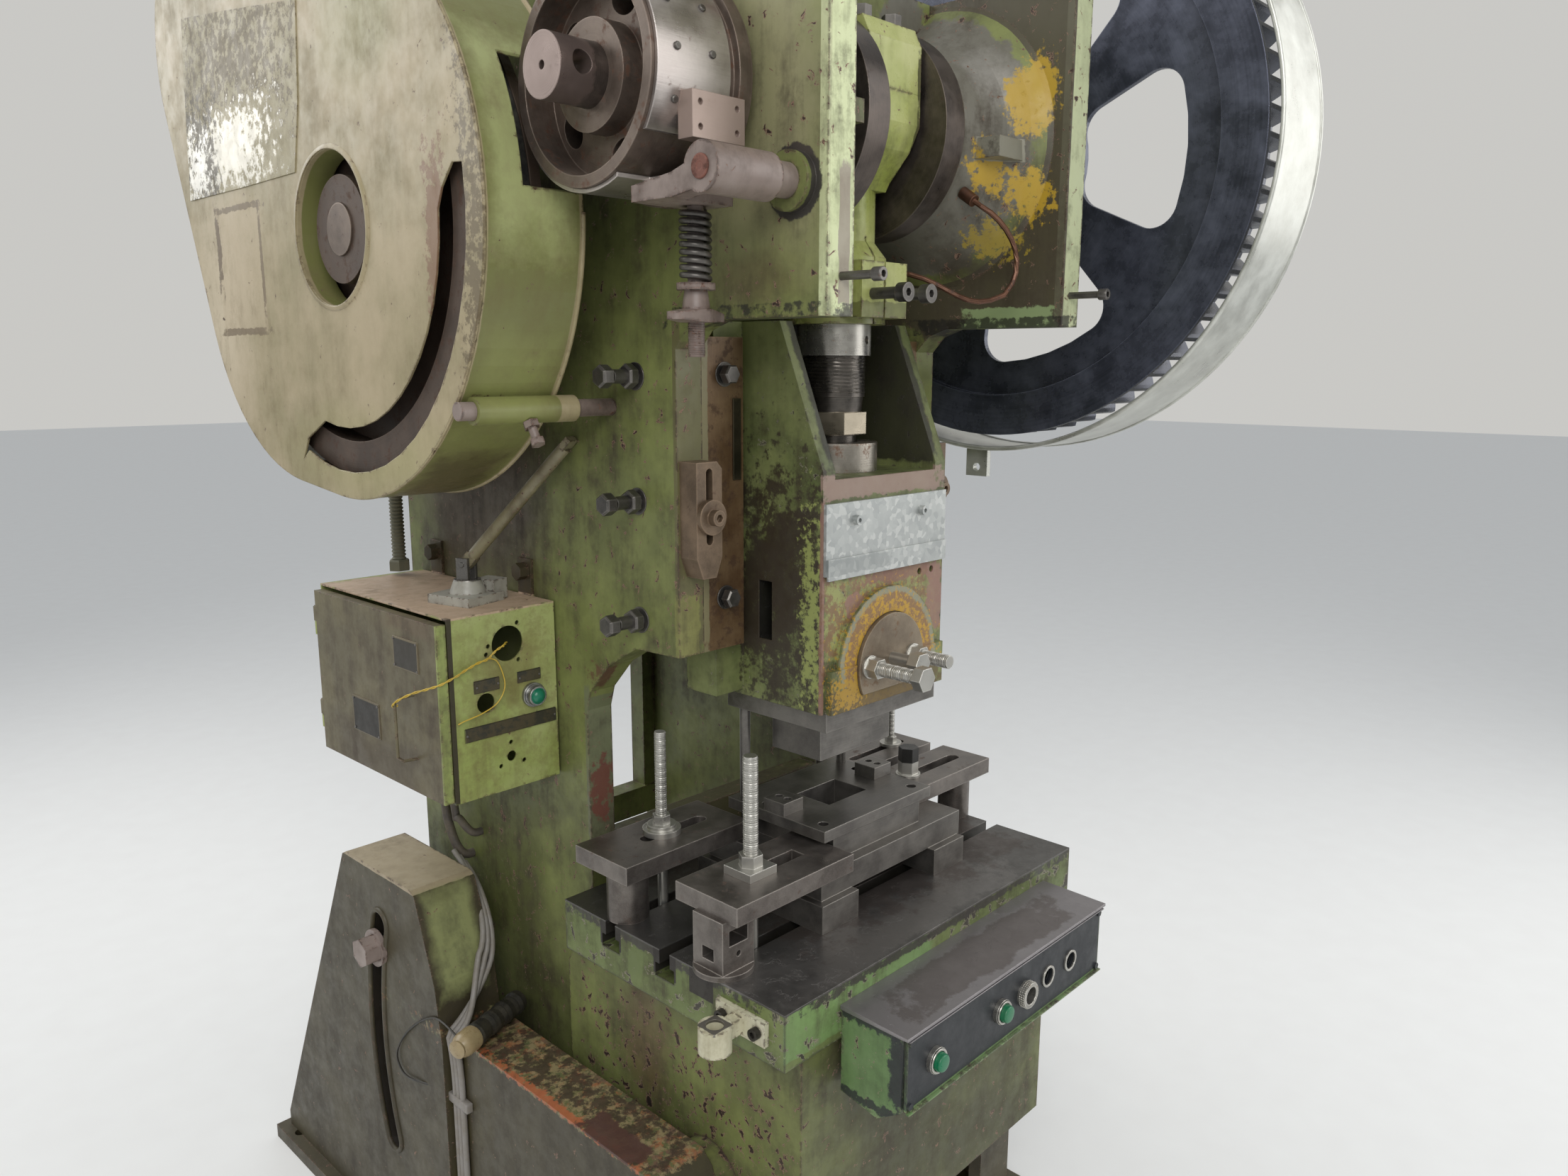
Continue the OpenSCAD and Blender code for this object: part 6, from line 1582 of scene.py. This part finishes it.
    def plate_rivets(self) -> None:
        """Pins the bare plates on the cabinet's door and front."""
        door = [((-489.4, y, z), (-1, 0, 0)) for ys, zs in self.door_rivets for y in ys for z in zs]
        front = [((x, 547.9, z), (0, -1, 0)) for x, z in self.front_rivets]
        size = {"Sides": 10, "Radius": 0.0019, "Height": 0.0008, "Crown": 0.0007}
        HEADS.cast(dots(door), size, "door_plate_rivets", BOLT_STEEL, "frame", "cabinet_door")
        HEADS.cast(dots(front), size, "cabinet_plate_rivets", BOLT_STEEL, "frame", "cabinet_body")

    def build(self) -> None:
        """Makes every piece of the wiring."""
        self.conduits()
        self.cables()
        self.splice()
        self.tie_wire()
        self.plate_rivets()


@dataclass
class LegSlots:
    """Cast lips round the curved slots in which the frame's lock bolts slide."""

    face_x: float = 450.0
    pivot: tuple[float, float] = (189.0, 445.0)
    slot_r: float = 706.0
    half_w: float = 25.0
    reach: float = 17.0
    lip: float = 5.0

    def path(self, x: float) -> list[Spot]:
        """Returns the slot's outline at one plane, going round."""
        spans = [(self.slot_r + self.half_w, -self.reach + k * self.reach / 12) for k in range(25)]
        spans += [(self.slot_r - self.half_w, self.reach - k * self.reach / 12) for k in range(25)]
        points = [(x, self.pivot[0] + r * math.cos(math.radians(a)),
                   self.pivot[1] + r * math.sin(math.radians(a)))
                  for r, a in spans]
        for end, first in ((self.reach, 25), (-self.reach, 61)):
            turn = math.radians(end)
            middle = (self.pivot[0] + self.slot_r * math.cos(turn),
                      self.pivot[1] + self.slot_r * math.sin(turn))
            start = turn if end > 0 else turn + math.pi
            cap = [(x, middle[0] + self.half_w * math.cos(start + k * math.pi / 12),
                    middle[1] + self.half_w * math.sin(start + k * math.pi / 12)) for k in range(1, 12)]
            points[first:first] = cap
        return points

    def build(self) -> None:
        """Makes a lip on each leg."""
        for name, side in (("left_slot_lip", -1), ("right_slot_lip", 1)):
            slot = "left_leg" if side < 0 else "right_leg"
            Shape().tube(self.path(side * self.face_x), self.lip, 8, loop=True).piece(
                name, LEG_ENAMEL, "base", slot, 60)


@dataclass
class ControlStation:
    """Two-hand control box: knurled ring, button crowns, button collars and the panel's trims."""

    face_y: float = -107.0
    mid_z: float = 708.0
    knurled_x: float = 42.0
    knurl_count: int = 36
    knurl_r: float = 18.6
    knurl_rows: tuple[float, ...] = (-110.5, -113.5, -116.5)
    buttons: tuple[tuple[float, str, str], ...] = ((-178.0, "left_button", "button_left"),
                                                   (-22.0, "mid_button", "button_mid"))
    crown_lift: float = 14.5
    crown: Profile = ((0, 12), (1.2, 12), (2.4, 11), (3.1, 8), (3.4, 4), (3.5, 0))
    collar_lift: float = 8.0
    collar: Profile = ((0, 13.3), (0, 17.4), (1.4, 16.6), (1.4, 14))
    trim_x: tuple[float, float] = (-238.0, 263.0)
    trim_y: tuple[float, float] = (-112.6, -106.8)
    trim_rows: tuple[float, float] = (655.5, 759.0)
    trim_high: float = 2.0
    trim_edge: float = 0.6

    def build(self) -> None:
        """Makes the knurls, the buttons' rounded crowns and collars, and two trims along the panel."""
        spots = []
        for k in range(self.knurl_count):
            angle = 2 * math.pi * k / self.knurl_count
            way = (math.cos(angle), 0.0, math.sin(angle))
            for y in self.knurl_rows:
                spots.append(((self.knurled_x + self.knurl_r * way[0], y, self.mid_z + self.knurl_r * way[2]),
                              way))
        HEADS.cast(dots(spots), {"Sides": 4, "Radius": 0.0014, "Height": 0.0006, "Crown": 0.0008},
                   "ring_knurls", RING_BRIGHT, "frame", "box_rings")
        collars = Shape()
        for x, body, slot in self.buttons:
            Shape().lathe((x, self.face_y - self.crown_lift, self.mid_z), (0, -1, 0), self.crown, 36).piece(
                f"{body}_crown", GREEN_KEY, body, slot, 60)
            collars.ring((x, self.face_y - self.collar_lift, self.mid_z), (0, -1, 0), self.collar, 40)
        collars.piece("button_collar_lips", RING_BRIGHT, "frame", "box_rings", 40)
        trims = Shape()
        for z in self.trim_rows:
            trims.block((self.trim_x[0], self.trim_y[0], z),
                        (self.trim_x[1], self.trim_y[1], z + self.trim_high), self.trim_edge)
        trims.piece("panel_trims", BOX_ENAMEL, "frame", "control_box", 40)


@dataclass
class Stage:
    """Plain floor, studio lamps and the camera at the photograph's viewing angle."""

    focal_px: float = 1607.17
    width_px: float = 2212.0
    yaw: float = 46.659
    pitch: float = 11.183
    roll: float = 0.176
    floor_mm: float = 90.0
    spot: Spot = (-1292.3, -885.4, 1601.6)
    target: Spot = (0.0, 400.0, 1300.0)
    lights: tuple[tuple[str, Point, float, float], ...] = (("key", (-2600, -2300, 3600), 2.4, 95.0),
                                                           ("fill", (2600, -2200, 2500), 3.0, 60.0),
                                                           ("back", (-1500, 3400, 3600), 3.0, 70.0))

    def floor(self) -> None:
        """Lays a wide, flat, pale floor."""
        mesh = bpy.data.meshes.new("floor")
        mesh.from_pydata([(-30, -30, 0), (30, -30, 0), (30, 30, 0), (-30, 30, 0)], [], [(0, 1, 2, 3)])
        plane = bpy.data.objects.new("floor", mesh)
        bpy.context.scene.collection.objects.link(plane)
        material = bpy.data.materials.new("pale studio floor")
        material.use_nodes = True
        tree = material.node_tree
        shader = tree.nodes["Principled BSDF"]
        where = add(tree, "ShaderNodeTexCoord").outputs["Object"]
        grain = add(tree, NOISE, {"Vector": where, "Scale": per_mm(self.floor_mm), "Detail": 4.0}).outputs[0]
        tone = add(tree, MIX, {0: grain, 6: linear("#eceae6"), 7: linear("#f1f0ec")},
                   data_type="RGBA").outputs[2]
        feed(tree, shader, {"Base Color": tone, "Roughness": 0.8})
        mesh.materials.append(material)

    def world(self) -> None:
        """Sets an even pale world that the camera sees as near white."""
        world = bpy.data.worlds.new("studio")
        bpy.context.scene.world = world
        world.use_nodes = True
        tree = world.node_tree
        tree.nodes.clear()
        path = add(tree, "ShaderNodeLightPath")
        seen = add(tree, MATH, {0: path.outputs["Is Camera Ray"], 1: path.outputs["Is Glossy Ray"]},
                   operation="MAXIMUM").outputs[0]
        seen = add(tree, MATH, {0: seen, 1: path.outputs["Is Transmission Ray"]},
                   operation="MAXIMUM").outputs[0]
        lit = add(tree, "ShaderNodeBackground", {"Color": linear("#dfe4ea"), "Strength": 0.66}).outputs[0]
        shown = add(tree, "ShaderNodeBackground", {"Color": linear("#e9e8e4"), "Strength": 0.72}).outputs[0]
        both = add(tree, "ShaderNodeMixShader", {0: seen, 1: lit, 2: shown}).outputs[0]
        add(tree, "ShaderNodeOutputWorld", {"Surface": both})

    def lamps(self) -> None:
        """Hangs a large key lamp, a fill and a back lamp."""
        target = at(*self.target)
        for name, place, size, power in self.lights:
            lamp = bpy.data.lights.new(name, "AREA")
            lamp.size = size
            lamp.energy = power
            holder = bpy.data.objects.new(name, lamp)
            holder.location = at(*place)
            holder.rotation_euler = (target - holder.location).to_track_quat("-Z", "Y").to_euler()
            bpy.context.scene.collection.objects.link(holder)

    def camera(self) -> None:
        """Sets the camera where the photograph was taken from."""
        lens = bpy.data.cameras.new("camera")
        lens.sensor_width = 36.0
        lens.lens = 36.0 * self.focal_px / self.width_px
        lens.clip_end = 100.0
        eye = bpy.data.objects.new("camera", lens)
        eye.location = at(*self.spot)
        look = Euler((math.radians(90 - self.pitch), 0.0, math.radians(-self.yaw)), "XYZ").to_matrix()
        eye.rotation_euler = (look @ Matrix.Rotation(math.radians(self.roll), 3, "Z")).to_euler()
        bpy.context.scene.collection.objects.link(eye)
        bpy.context.scene.camera = eye

    def build(self) -> None:
        """Sets the whole stage."""
        self.camera()
        self.floor()
        self.world()
        self.lamps()
        bpy.context.scene.view_settings.view_transform = "Standard"


def dress_cad_nodes() -> None:
    """Gives every CAD node its finish."""
    for name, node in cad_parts.items():
        material = SHOP.get(CAD_FINISHES[name])
        if not node.data.materials:
            node.data.materials.append(material)
        for index in range(len(node.data.materials)):
            node.data.materials[index] = material
        LOG.info("node %s: %s", name, material.name)


def main() -> None:
    """Dresses the frame and builds the sub-assemblies in order."""
    logging.basicConfig(level=logging.INFO, format="%(message)s")
    Stage().build()
    dress_cad_nodes()
    for assembly in (BrakeSet(), CrankTrain(), ClampSet(), GibHardware(), BeltGuard(), GearGuard(), Wiring(),
                     LegSlots(), ControlStation()):
        assembly.build()
        LOG.info("built %s", type(assembly).__name__)


if __name__ == "__main__":
    main()
